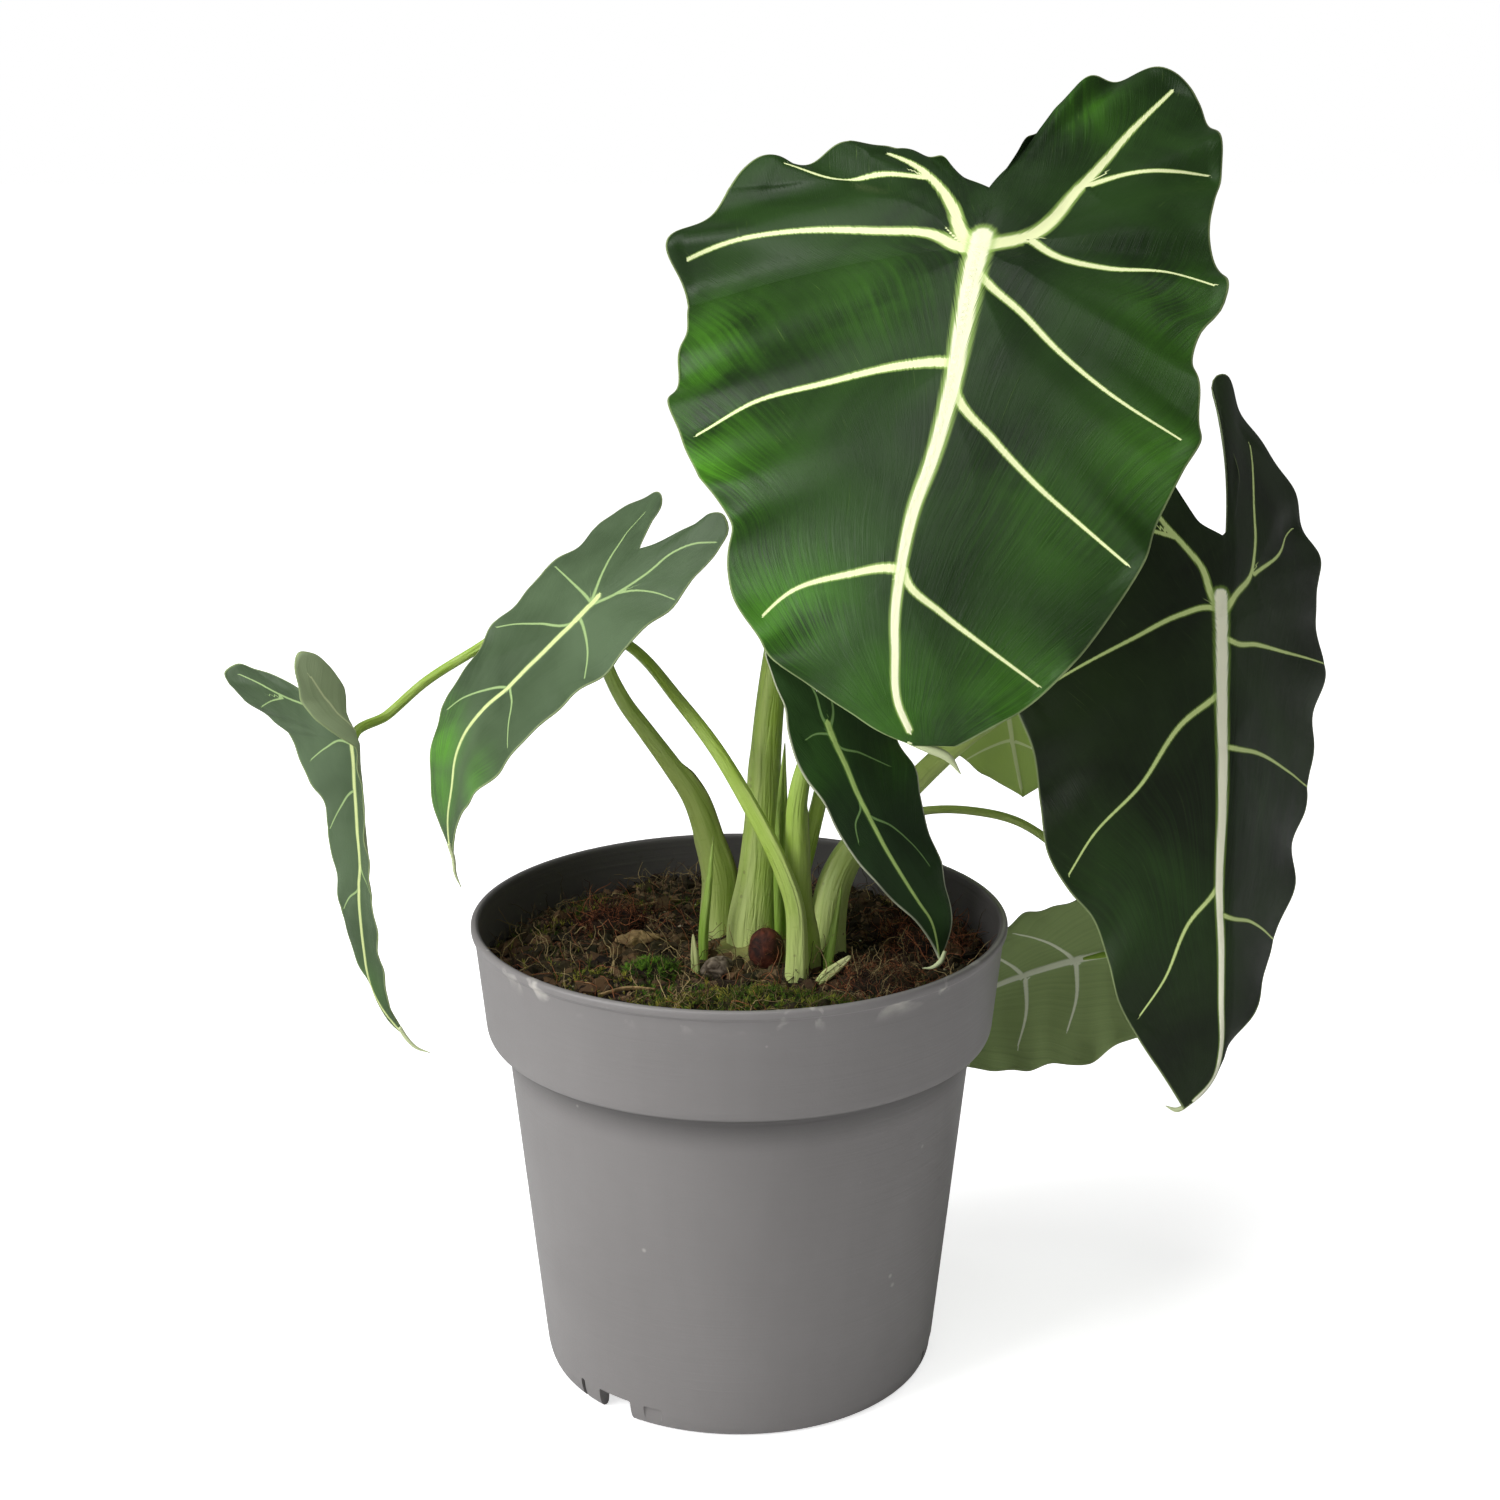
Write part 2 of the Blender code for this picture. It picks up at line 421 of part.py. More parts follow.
class Blade:
    """Bends a flat leaf outline into the way the real blade hangs."""

    def __init__(self, leaf):
        self.leaf = leaf
        self.at = np.array(leaf["at"], float) + (0.0, 0.0, GROUND)
        az, droop, roll = (math.radians(leaf[k]) for k in ("azimuth", "droop", "roll"))
        self.along = np.array([math.sin(az) * math.cos(droop), -math.cos(az) * math.cos(droop),
                               -math.sin(droop)])
        side = np.array([math.cos(az), math.sin(az), 0.0])
        normal = np.cross(self.along, side)
        self.side = spin(side, self.along, roll)
        self.normal = spin(normal, self.along, roll)
        mid = np.array([leaf["cleft"]] + leaf["midrib"] + [leaf["tip"]], float)
        self.mid_v, self.mid_u = mid[:, 1], mid[:, 0]

    def spine(self, v):
        """Distance along, distance down and turn angle of the midrib at v."""
        leaf = self.leaf
        v = np.asarray(v, float)
        reach = np.linspace(0.0, 1.25 * leaf["length"], 120)
        turn = math.radians(leaf["bend"]) * (reach / leaf["length"]) ** 1.3
        step = np.diff(reach)
        along = np.concatenate([[0], np.cumsum((np.cos(turn[1:]) + np.cos(turn[:-1])) / 2 * step)])
        down = np.concatenate([[0], np.cumsum((np.sin(turn[1:]) + np.sin(turn[:-1])) / 2 * step)])
        return np.interp(v, reach, along), np.interp(v, reach, down), np.interp(v, reach, turn)

    def lobe(self, v, lean):
        """The same for the lobes, which bend back on a round arc."""
        back = np.clip(-np.asarray(v, float), 0.0, None)
        curve = math.radians(lean) / self.leaf["lobe"]
        if abs(curve) < 1e-6:
            return -back, 0.0 * back, 0.0 * back
        return -np.sin(curve * back) / curve, (1 - np.cos(curve * back)) / curve, -curve * back

    def fold(self, v, keys):
        """Fold angle at v from its values at the lobe, the stalk and the tip."""
        leaf = self.leaf
        return np.radians(np.interp(v, [-0.6 * leaf["lobe"], 0.0, leaf["length"]], keys))

    def place(self, u, v, lift=0.0):
        """Points in space for flat leaf coordinates."""
        leaf = self.leaf
        u, v = np.asarray(u, float), np.asarray(v, float)
        blend = np.clip(u / 24.0 + 0.5, 0.0, 1.0)
        blend = (blend * blend * (3 - 2 * blend))[..., None]
        tip = np.stack(self.spine(v), -1)
        lobes = [np.stack(self.lobe(v, lean), -1) for lean in leaf["lean"]]
        lobe = lobes[0] * (1 - blend) + lobes[1] * blend
        along, down, turn = np.moveaxis(np.where((v < 0)[..., None], lobe, tip), -1, 0)
        centre = np.interp(v, self.mid_v, self.mid_u)
        off = u - centre
        angle = np.where(off < 0, self.fold(v, leaf["fold_l"]), self.fold(v, leaf["fold_r"]))
        angle = np.where(np.abs(angle) < 1e-4, 1e-4, angle)
        arc = np.minimum(np.abs(off), CREASE)
        rest = np.abs(off) - arc
        turned = angle * arc / CREASE
        across = np.sin(turned) * CREASE / angle + rest * np.cos(angle)
        drop = (1 - np.cos(turned)) * CREASE / angle + rest * np.sin(angle) + leaf["cup"] * off * off
        up = np.cos(turn)[..., None] * self.normal + np.sin(turn)[..., None] * self.along
        base = self.at + along[..., None] * self.along - down[..., None] * self.normal
        move = (centre + np.sign(off) * across)[..., None] * self.side
        return base + move + (lift - drop)[..., None] * up

    def ribs(self, side):
        """Flat grid of one half: each row runs from the midrib out to the margin."""
        leaf = self.leaf
        edge = smooth_line([leaf["cleft"]] + leaf[side] + [leaf["tip"]], 600)
        rake = leaf["rake"][0 if side == "left" else 1]
        cross = int(np.argmax(edge[:, 1] > 0.0))
        lobe_t = np.arange(LOBE_RIBS + 1) / LOBE_RIBS
        blade_t = np.arange(1, RIBS + 1) / RIBS
        reach = np.maximum.accumulate(edge[cross:, 1]) + np.arange(600 - cross) * 1e-6
        tip_v = leaf["tip"][1]
        pick = np.interp(tip_v * blade_t ** (RIB_SPREAD / rake), reach, np.arange(cross, 600))
        pick = np.concatenate([cross * lobe_t, pick])
        pick[-1] = 599
        margin = np.stack([np.interp(pick, np.arange(600), edge[:, k]) for k in (0, 1)], -1)
        spine_v = np.concatenate([leaf["cleft"][1] * (1 - lobe_t) ** 2, tip_v * blade_t ** RIB_SPREAD])
        start = np.stack([np.interp(spine_v, self.mid_v, self.mid_u), spine_v], -1)
        t = np.linspace(0.0, 1.0, ACROSS + 1)[None, :, None]
        return start[:, None] * (1 - t) + margin[:, None] * t


def build_blade(name, leaf, visible):
    """Both halves lofted from the midrib to the margin, then given a wall."""
    blade = Blade(leaf)
    points, faces = [], []
    for side in ("left", "right"):
        grid = blade.ribs(side)
        placed = blade.place(grid[..., 0], grid[..., 1])
        first = len(points)
        points.extend(placed.reshape(-1, 3).tolist())
        for i in range(LOBE_RIBS + RIBS):
            for j in range(ACROSS):
                a = first + i * (ACROSS + 1) + j
                quad = (a, a + ACROSS + 1, a + ACROSS + 2, a + 1)
                faces.append(quad if side == "right" else quad[::-1])
    obj = mesh_object("blade_" + name, points, faces)
    weld = obj.modifiers.new("weld", "WELD")
    weld.merge_threshold = 0.0002
    wall = obj.modifiers.new("wall", "SOLIDIFY")
    wall.thickness = BLADE_THICKNESS * MM
    wall.offset = 0.0
    link_piece(obj, visible, leaf["colour"], 0.4)


def tube(name, line):
    """A tapering closed tube along (x, y, z, radius) points."""
    data = bpy.data.curves.new(name, "CURVE")
    data.dimensions = "3D"
    data.bevel_depth = MM
    data.bevel_resolution = 2
    data.resolution_u = 3
    data.use_fill_caps = True
    spline = data.splines.new("BEZIER")
    spline.bezier_points.add(len(line) - 1)
    for point, (x, y, z, radius) in zip(spline.bezier_points, line):
        point.co = (x * MM, y * MM, z * MM)
        point.radius = radius
        point.handle_left_type = "AUTO"
        point.handle_right_type = "AUTO"
    curve = bpy.data.objects.new(name + "_line", data)
    bpy.context.scene.collection.objects.link(curve)
    graph = bpy.context.evaluated_depsgraph_get()
    mesh = bpy.data.meshes.new_from_object(curve.evaluated_get(graph))
    mesh.name = name
    bpy.data.objects.remove(curve)
    obj = bpy.data.objects.new(name, mesh)
    weld = obj.modifiers.new("weld", "WELD")
    weld.merge_threshold = 0.00001
    return obj


def grounded(line, origin=(0.0, 0.0)):
    """Points whose heights were above the ground, moved to their place."""
    return [(origin[0] + x, origin[1] + y, GROUND + height, radius) for x, y, height, radius in line]


def build_stalk(name, line, visible):
    """A leaf stalk that stops just short of the blade's underside."""
    blade = Blade(LEAVES[name])
    radius = line[-1][3] * 0.9
    reach = radius + BLADE_THICKNESS / 2 + GAP + STALK_TIP_DROP
    end = blade.at - blade.normal * reach - blade.along * 0.5
    line = grounded(line) + [(*end, radius)]
    link_piece(tube("petiole_" + name, line), visible, GREEN_STALK, 0.45)


def lump(name, centre, height, half, turn):
    """A rounded lump with a flat underside just above the soil."""
    steps, rings = 16, 5
    low = math.asin(max(-1.0, min(1.0, -height / half[2])))
    points = [(0.0, 0.0, 1.0)]
    for i in range(1, rings + 1):
        lift = math.pi / 2 + (low - math.pi / 2) * i / rings
        for j in range(steps):
            around = 2 * math.pi * j / steps
            wobble = 1.0 + 0.06 * math.sin(3 * around + 2 * i) + 0.04 * math.sin(5 * around - i)
            points.append((math.cos(lift) * math.cos(around) * wobble,
                           math.cos(lift) * math.sin(around) * wobble, math.sin(lift)))
    faces = [(0, 1 + j, 1 + (j + 1) % steps) for j in range(steps)]
    for i in range(rings - 1):
        a, b = 1 + i * steps, 1 + (i + 1) * steps
        faces += [(a + j, b + j, b + (j + 1) % steps, a + (j + 1) % steps) for j in range(steps)]
    last = 1 + (rings - 1) * steps
    faces.append(tuple(last + j for j in reversed(range(steps))))
    cos, sin = math.cos(math.radians(turn)), math.sin(math.radians(turn))
    placed = []
    for x, y, z in points:
        x, y, z = x * half[0], y * half[1], z * half[2]
        placed.append((centre[0] + x * cos - y * sin, centre[1] + x * sin + y * cos,
                       GROUND + height + z))
    return mesh_object(name, placed, faces)


def main():
    visible, cutters = reset_scene()
    build_pot(visible, cutters)
    build_soil(visible, cutters)
    for name, leaf in LEAVES.items():
        build_blade(name, leaf, visible)
    for name, line in STALKS.items():
        build_stalk(name, line, visible)
    for name, (line, colour) in SLIPS.items():
        link_piece(tube(name, grounded(line)), visible, colour, 0.6)
    for name, (spot, line) in STRAWS.items():
        link_piece(tube(name, grounded(line, by_wall(*spot))), visible, STRAW, 0.6)
    for name, (centre, *shape, colour) in LUMPS.items():
        link_piece(lump(name, centre, *shape), visible, colour, 0.95)
    for name, (spot, *shape, colour) in WALL_LUMPS.items():
        link_piece(lump(name, by_wall(*spot), *shape), visible, colour, 0.95)


main()
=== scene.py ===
"""Visual model of a young alocasia in its nursery pot.

Sizes are in millimetres until a mesh is made. Heights of the plant are above the ground,
which is the soil line that its stalks stand on. +Z is up and -Y is the front.
"""
import json
import logging
import math
from dataclasses import dataclass, field
from enum import Enum

import bmesh
import bpy
import numpy as np
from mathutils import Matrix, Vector

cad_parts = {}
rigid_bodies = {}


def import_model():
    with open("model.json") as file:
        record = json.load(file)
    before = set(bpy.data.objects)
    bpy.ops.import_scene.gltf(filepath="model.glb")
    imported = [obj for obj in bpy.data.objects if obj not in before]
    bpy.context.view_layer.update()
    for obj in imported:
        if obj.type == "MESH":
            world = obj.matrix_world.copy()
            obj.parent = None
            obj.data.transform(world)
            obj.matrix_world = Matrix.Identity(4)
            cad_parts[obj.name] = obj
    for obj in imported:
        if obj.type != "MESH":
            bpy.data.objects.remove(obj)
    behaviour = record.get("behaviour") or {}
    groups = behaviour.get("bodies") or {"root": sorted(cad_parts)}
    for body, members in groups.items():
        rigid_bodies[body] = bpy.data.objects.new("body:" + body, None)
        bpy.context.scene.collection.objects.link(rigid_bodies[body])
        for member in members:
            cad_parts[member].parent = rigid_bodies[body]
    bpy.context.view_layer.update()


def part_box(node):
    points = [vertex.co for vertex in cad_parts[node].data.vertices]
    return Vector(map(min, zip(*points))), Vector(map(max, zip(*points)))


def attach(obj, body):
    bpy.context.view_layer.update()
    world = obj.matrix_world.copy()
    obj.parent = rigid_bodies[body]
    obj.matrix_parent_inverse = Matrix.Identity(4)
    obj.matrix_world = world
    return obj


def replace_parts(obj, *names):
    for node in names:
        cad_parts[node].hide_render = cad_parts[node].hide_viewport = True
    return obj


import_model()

log = logging.getLogger("alocasia")

MM = 0.001
TURN = 2.0 * math.pi
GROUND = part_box("crown")[1].z / MM + 0.3
BODY = "root"
VEIN_CLIP = 12.0
GRAIN = "grain"
TONE = "tone"
HASH_STEPS = np.array([374761393, 668265263, 362437])

Colour = str
Point = tuple[float, ...]
Array = np.ndarray
Object = bpy.types.Object
Socket = bpy.types.NodeSocket


def rgb(code: Colour) -> tuple[float, float, float]:
    """Linear colour from a hex code."""
    parts = [int(code[i:i + 2], 16) / 255.0 for i in (0, 2, 4)]
    return tuple(c / 12.92 if c <= 0.04045 else ((c + 0.055) / 1.055) ** 2.4 for c in parts)



def hashed(cell: Array, seed: int) -> Array:
    """Repeatable value from -1 to 1 for each whole-numbered cell.

    Args:
        cell: whole numbers, three to a row.
        seed: number of the pattern.

    Returns:
        One value per row.
    """
    mixed = (cell * HASH_STEPS).sum(-1) + seed * 9176
    mixed = (mixed ^ (mixed >> 13)) * 1274126177
    mixed = mixed ^ (mixed >> 16)
    return (mixed & 0xFFFF) / 32767.5 - 1.0


def noise(points: Array, size: float, seed: int = 0, octaves: int = 2) -> Array:
    """Smooth noise from about -1 to 1.

    Args:
        points: places in millimetres, three to a row.
        size: width of the largest bumps.
        seed: number of the pattern.
        octaves: how many finer layers are added.

    Returns:
        One value per point.
    """
    total, gain, norm = 0.0, 1.0, 0.0
    for octave in range(octaves):
        spot = np.asarray(points, float) / size * 2.0 ** octave + 31.7 * octave
        cell = np.floor(spot).astype(np.int64)
        f = spot - cell
        f = f * f * (3 - 2 * f)
        value = 0.0
        for corner in np.ndindex(2, 2, 2):
            weight = np.prod(np.where(np.array(corner) == 1, f, 1 - f), axis=-1)
            value = value + weight * hashed(cell + np.array(corner), seed + octave)
        total, norm, gain = total + gain * value, norm + gain, gain * 0.5
    return total / norm


def smooth_line(points: list, count: int) -> Array:
    """Points evenly spaced along a smooth curve through the given ones.

    Args:
        points: points of any width, in order.
        count: how many to return.

    Returns:
        The resampled points.
    """
    pts = np.array(points, float)
    step = np.linalg.norm(np.diff(pts, axis=0), axis=1)
    knots = np.concatenate([[0.0], np.cumsum(step)])
    slope = np.gradient(pts, knots, axis=0)
    where = np.linspace(0.0, knots[-1], count)
    seg = np.clip(np.searchsorted(knots, where, side="right") - 1, 0, len(pts) - 2)
    span = (knots[seg + 1] - knots[seg])[:, None]
    t = ((where - knots[seg]) / span[:, 0])[:, None]
    a = (1 + 2 * t) * (1 - t) ** 2 * pts[seg] + t * (1 - t) ** 2 * span * slope[seg]
    b = t * t * (3 - 2 * t) * pts[seg + 1] + t * t * (t - 1) * span * slope[seg + 1]
    return a + b


def length_of(points: list) -> float:
    """Length of a line of points."""
    return float(np.linalg.norm(np.diff(np.array(points, float), axis=0), axis=1).sum())


def smoothstep(value: Array, low: float, high: float) -> Array:
    """Soft step from 0 at low to 1 at high."""
    t = np.clip((value - low) / (high - low), 0.0, 1.0)
    return t * t * (3 - 2 * t)


def unit(vectors: Array) -> Array:
    """Vectors made one long."""
    return vectors / np.maximum(np.linalg.norm(vectors, axis=-1, keepdims=True), 1e-12)


def spin(vector: Array, axis: Array, angle: float) -> Array:
    """A vector turned about a unit axis by an angle in radians."""
    cos, sin = math.cos(angle), math.sin(angle)
    return vector * cos + np.cross(axis, vector) * sin + axis * np.dot(axis, vector) * (1 - cos)


class Draft:
    """Vertices, faces and vertex values on the way to one mesh."""

    def __init__(self) -> None:
        """Start empty."""
        self.points: list[Array] = []
        self.faces: list[Array] = []
        self.values: dict[str, list[Array]] = {}
        self.count = 0

    def add(self, points: Array, **values: Array) -> Array:
        """Add vertices.

        Args:
            points: places in millimetres, in any grid.
            values: one number or vector per vertex for each named attribute.

        Returns:
            The new vertices' numbers, in the same grid.
        """
        shape = points.shape[:-1]
        number = np.arange(self.count, self.count + int(np.prod(shape))).reshape(shape)
        self.count += number.size
        self.points.append(points.reshape(-1, 3))
        for name, value in values.items():
            self.values.setdefault(name, []).append(value.reshape(number.size, -1))
        return number

    def quads(self, grid: Array, flip: bool = False) -> None:
        """Faces between neighbouring vertices of a grid."""
        corners = (grid[:-1, :-1], grid[1:, :-1], grid[1:, 1:], grid[:-1, 1:])
        quad = np.stack(corners, -1).reshape(-1, 4)
        self.faces.append(quad[:, ::-1] if flip else quad)

    def wrap(self, rings: Array, flip: bool = False) -> None:
        """Faces between neighbouring rings, closed all round."""
        self.quads(np.concatenate([rings, rings[:, :1]], 1), flip)

    def tris(self, corners: Array, flip: bool = False) -> None:
        """Triangles, three vertex numbers to a row."""
        self.faces.append(corners[:, ::-1] if flip else corners)

    def cap(self, rim: Array, tip: int, flip: bool = False) -> None:
        """Triangles that close a ring with one vertex."""
        self.tris(np.stack([np.full(len(rim), tip), rim, np.roll(rim, -1)], -1), flip)

    def make(self, name: str, weld: float = 0.0) -> Object:
        """Build the mesh object, at the origin and in metres.

        Args:
            name: name of the piece.
            weld: distance in millimetres within which vertices are merged.

        Returns:
            The new object, smooth shaded and linked to the scene.
        """
        mesh = bpy.data.meshes.new(name)
        places = np.concatenate(self.points) * MM
        corners = np.concatenate([f.reshape(-1) for f in self.faces])
        sizes = np.concatenate([np.full(len(f), f.shape[1]) for f in self.faces])
        starts = np.concatenate([[0], np.cumsum(sizes)[:-1]])
        mesh.vertices.add(len(places))
        mesh.vertices.foreach_set("co", places.astype(np.float32).reshape(-1))
        mesh.loops.add(len(corners))
        mesh.loops.foreach_set("vertex_index", corners.astype(np.int32))
        mesh.polygons.add(len(sizes))
        mesh.polygons.foreach_set("loop_start", starts.astype(np.int32))
        mesh.update(calc_edges=True)
        for key, parts in self.values.items():
            value = np.concatenate(parts).astype(np.float32)
            wide = value.shape[1] == 3
            spot = mesh.attributes.new(key, "FLOAT_VECTOR" if wide else "FLOAT", "POINT")
            spot.data.foreach_set("vector" if wide else "value", value.reshape(-1))
        if weld:
            work = bmesh.new()
            work.from_mesh(mesh)
            bmesh.ops.remove_doubles(work, verts=work.verts, dist=weld * MM)
            bmesh.ops.dissolve_degenerate(work, edges=work.edges, dist=weld * MM * 0.1)
            work.to_mesh(mesh)
            work.free()
        mesh.validate()
        mesh.shade_smooth()
        return linked(name, mesh)


def linked(name: str, data: bpy.types.ID) -> Object:
    """A new object that holds this data, linked to the scene."""
    obj = bpy.data.objects.new(name, data)
    bpy.context.scene.collection.objects.link(obj)
    return obj


def frames(line: Array) -> tuple[Array, Array, Array]:
    """Directions along a line and two across it that don't twist.

    Args:
        line: points of the line.

    Returns:
        Tangents and the two crosswise directions, one of each per point.
    """
    tangent = unit(np.gradient(line, axis=0))
    across = np.zeros_like(line)
    start = np.array([1.0, 0.0, 0.0]) if abs(tangent[0][0]) < 0.9 else np.array([0.0, 1.0, 0.0])
    across[0] = unit(start - tangent[0] * np.dot(start, tangent[0]))
    for i in range(1, len(line)):
        moved = across[i - 1] - tangent[i] * np.dot(across[i - 1], tangent[i])
        across[i] = unit(moved)
    return tangent, across, np.cross(tangent, across)


def loft(draft: Draft, line: Array, radius: Array, sides: int,
         **values: Array) -> None:
    """A closed tube about a line.

    Args:
        draft: mesh that takes the tube.
        line: centre points.
        radius: one radius per ring, or one per ring and side.
        sides: vertices in a ring.
        values: extra vertex values per ring and side.
    """
    _, across, up = frames(line)
    angle = TURN * np.arange(sides) / sides
    radius = np.broadcast_to(radius.reshape(len(line), -1), (len(line), sides))
    cos, sin = np.cos(angle)[None], np.sin(angle)[None]
    ring = across[:, None] * cos[..., None] + up[:, None] * sin[..., None]
    reach = np.concatenate([[0.0], np.cumsum(np.linalg.norm(np.diff(line, axis=0), axis=1))])
    grain = np.stack([cos * radius, sin * radius, reach[:, None] + 0 * radius], -1)
    number = draft.add(line[:, None] + ring * radius[..., None], **{GRAIN: grain, **values})
    draft.wrap(number, flip=True)
    for end, flip in ((0, True), (-1, False)):
        middle = {key: value[end].mean(0)[None] for key, value in values.items()}
        tip = draft.add(line[end][None], **{GRAIN: grain[end].mean(0)[None], **middle})[0]
        draft.cap(number[end], tip, flip)


def dome(draft: Draft, centre: Point, half: Point, turn: float, rough: float, seed: int,
         rings: int = 26, sides: int = 56, floor: float = -1.0) -> None:
    """A closed rounded lump with bumps.

    Args:
        draft: mesh that takes the lump.
        centre: middle of the lump.
        half: its half sizes.
        turn: turn about Z in degrees.
        rough: depth of its bumps.
        seed: number of the pattern.
        rings: rings from top to bottom.
        sides: vertices in a ring.
        floor: lowest share of the height that is kept, which flattens the underside.
    """
    lift = np.linspace(math.pi / 2, -math.pi / 2, rings + 2)[1:-1]
    around = TURN * np.arange(sides) / sides
    ball = np.stack([np.cos(lift)[:, None] * np.cos(around), np.cos(lift)[:, None] * np.sin(around),
                     np.broadcast_to(np.sin(lift)[:, None], (rings, sides))], -1)

    def shaped(points: Array) -> Array:
        """Points of the unit ball moved to the lump's surface."""
        body = points * np.array(half)
        bump = noise(body + seed * 13.1, max(half) * 0.55, seed, 3)
        body = body * (1 + (rough * bump / min(half))[..., None])
        body[..., 2] = np.maximum(body[..., 2], floor * half[2])
        cos, sin = math.cos(math.radians(turn)), math.sin(math.radians(turn))
        x, y, z = np.moveaxis(body, -1, 0)
        return np.stack([x * cos - y * sin, x * sin + y * cos, z], -1) + np.array(centre)

    number = draft.add(shaped(ball))
    draft.wrap(number)
    for row, pole, flip in ((0, 1.0, False), (-1, -1.0, True)):
        draft.cap(number[row], draft.add(shaped(np.array([[0.0, 0.0, pole]])))[0], flip)



class Graph:
    """Short ways to add and join nodes in one tree."""

    def __init__(self, tree: bpy.types.NodeTree) -> None:
        """Work on a tree."""
        self.tree = tree

    def put(self, socket: Socket, value: object) -> None:
        """Join a socket to another, or give it a colour's hex code or a plain value."""
        if isinstance(value, Socket):
            self.tree.links.new(value, socket)
        elif isinstance(value, str):
            socket.default_value = (*rgb(value), 1.0)
        else:
            socket.default_value = value

    def node(self, kind: str, **inputs: object) -> bpy.types.Node:
        """Add a node and fill the inputs named, with underscores for blanks."""
        made = self.tree.nodes.new(kind)
        for key, value in inputs.items():
            self.put(made.inputs[key.replace("_", " ")], value)
        return made

    def math(self, operation: str, *values: object, clamp: bool = False) -> Socket:
        """Result of a Math node."""
        made = self.tree.nodes.new("ShaderNodeMath")
        made.operation, made.use_clamp = operation, clamp
        for socket, value in zip(made.inputs, values):
            self.put(socket, value)
        return made.outputs[0]

    def times(self, *values: object) -> Socket:
        """Product of two numbers."""
        return self.math("MULTIPLY", *values)

    def plus(self, *values: object) -> Socket:
        """Sum of two numbers."""
        return self.math("ADD", *values)

    def mix(self, factor: object, a: object, b: object) -> Socket:
        """Colour between a and b."""
        made = self.tree.nodes.new("ShaderNodeMix")
        made.data_type = "RGBA"
        for index, value in ((0, factor), (6, a), (7, b)):
            self.put(made.inputs[index], value)
        return made.outputs[2]

    def band(self, value: object, low: float, high: float) -> Socket:
        """Soft step from 0 at low to 1 at high, either way round."""
        made = self.tree.nodes.new("ShaderNodeMapRange")
        made.interpolation_type = "SMOOTHSTEP"
        ends = (low, high, 0.0, 1.0) if low < high else (high, low, 1.0, 0.0)
        self.put(made.inputs["Value"], value)
        for name, end in zip(("From Min", "From Max", "To Min", "To Max"), ends):
            made.inputs[name].default_value = end
        return made.outputs["Result"]

    def attribute(self, name: str) -> bpy.types.Node:
        """Node that reads a vertex attribute."""
        made = self.tree.nodes.new("ShaderNodeAttribute")
        made.attribute_name = name
        return made

    def split(self, vector: object) -> list[Socket]:
        """The three numbers of a vector."""
        return list(self.node("ShaderNodeSeparateXYZ", Vector=vector).outputs)

    def scaled(self, vector: object, scale: Point) -> Socket:
        """A vector stretched along its axes."""
        return self.node("ShaderNodeMapping", Vector=vector, Scale=scale).outputs[0]

    def noise(self, vector: object, scale: object, detail: float = 3.0,
              distortion: float = 0.0) -> Socket:
        """Value of a Noise Texture."""
        return self.node("ShaderNodeTexNoise", Vector=vector, Scale=scale, Detail=detail,
                         Distortion=distortion).outputs[0]

    def chance(self, seed: object, low: object, high: object, vector: bool = False) -> Socket:
        """Random number or vector between two ends."""
        made = self.tree.nodes.new("FunctionNodeRandomValue")
        made.data_type = "FLOAT_VECTOR" if vector else "FLOAT"
        first = 0 if vector else 2
        self.put(made.inputs[first], low)
        self.put(made.inputs[first + 1], high)
        self.put(made.inputs["Seed"], seed)
        return made.outputs[0 if vector else 1]

    def place(self) -> Socket:
        """Object coordinates in metres."""
        return self.tree.nodes.new("ShaderNodeTexCoord").outputs["Object"]


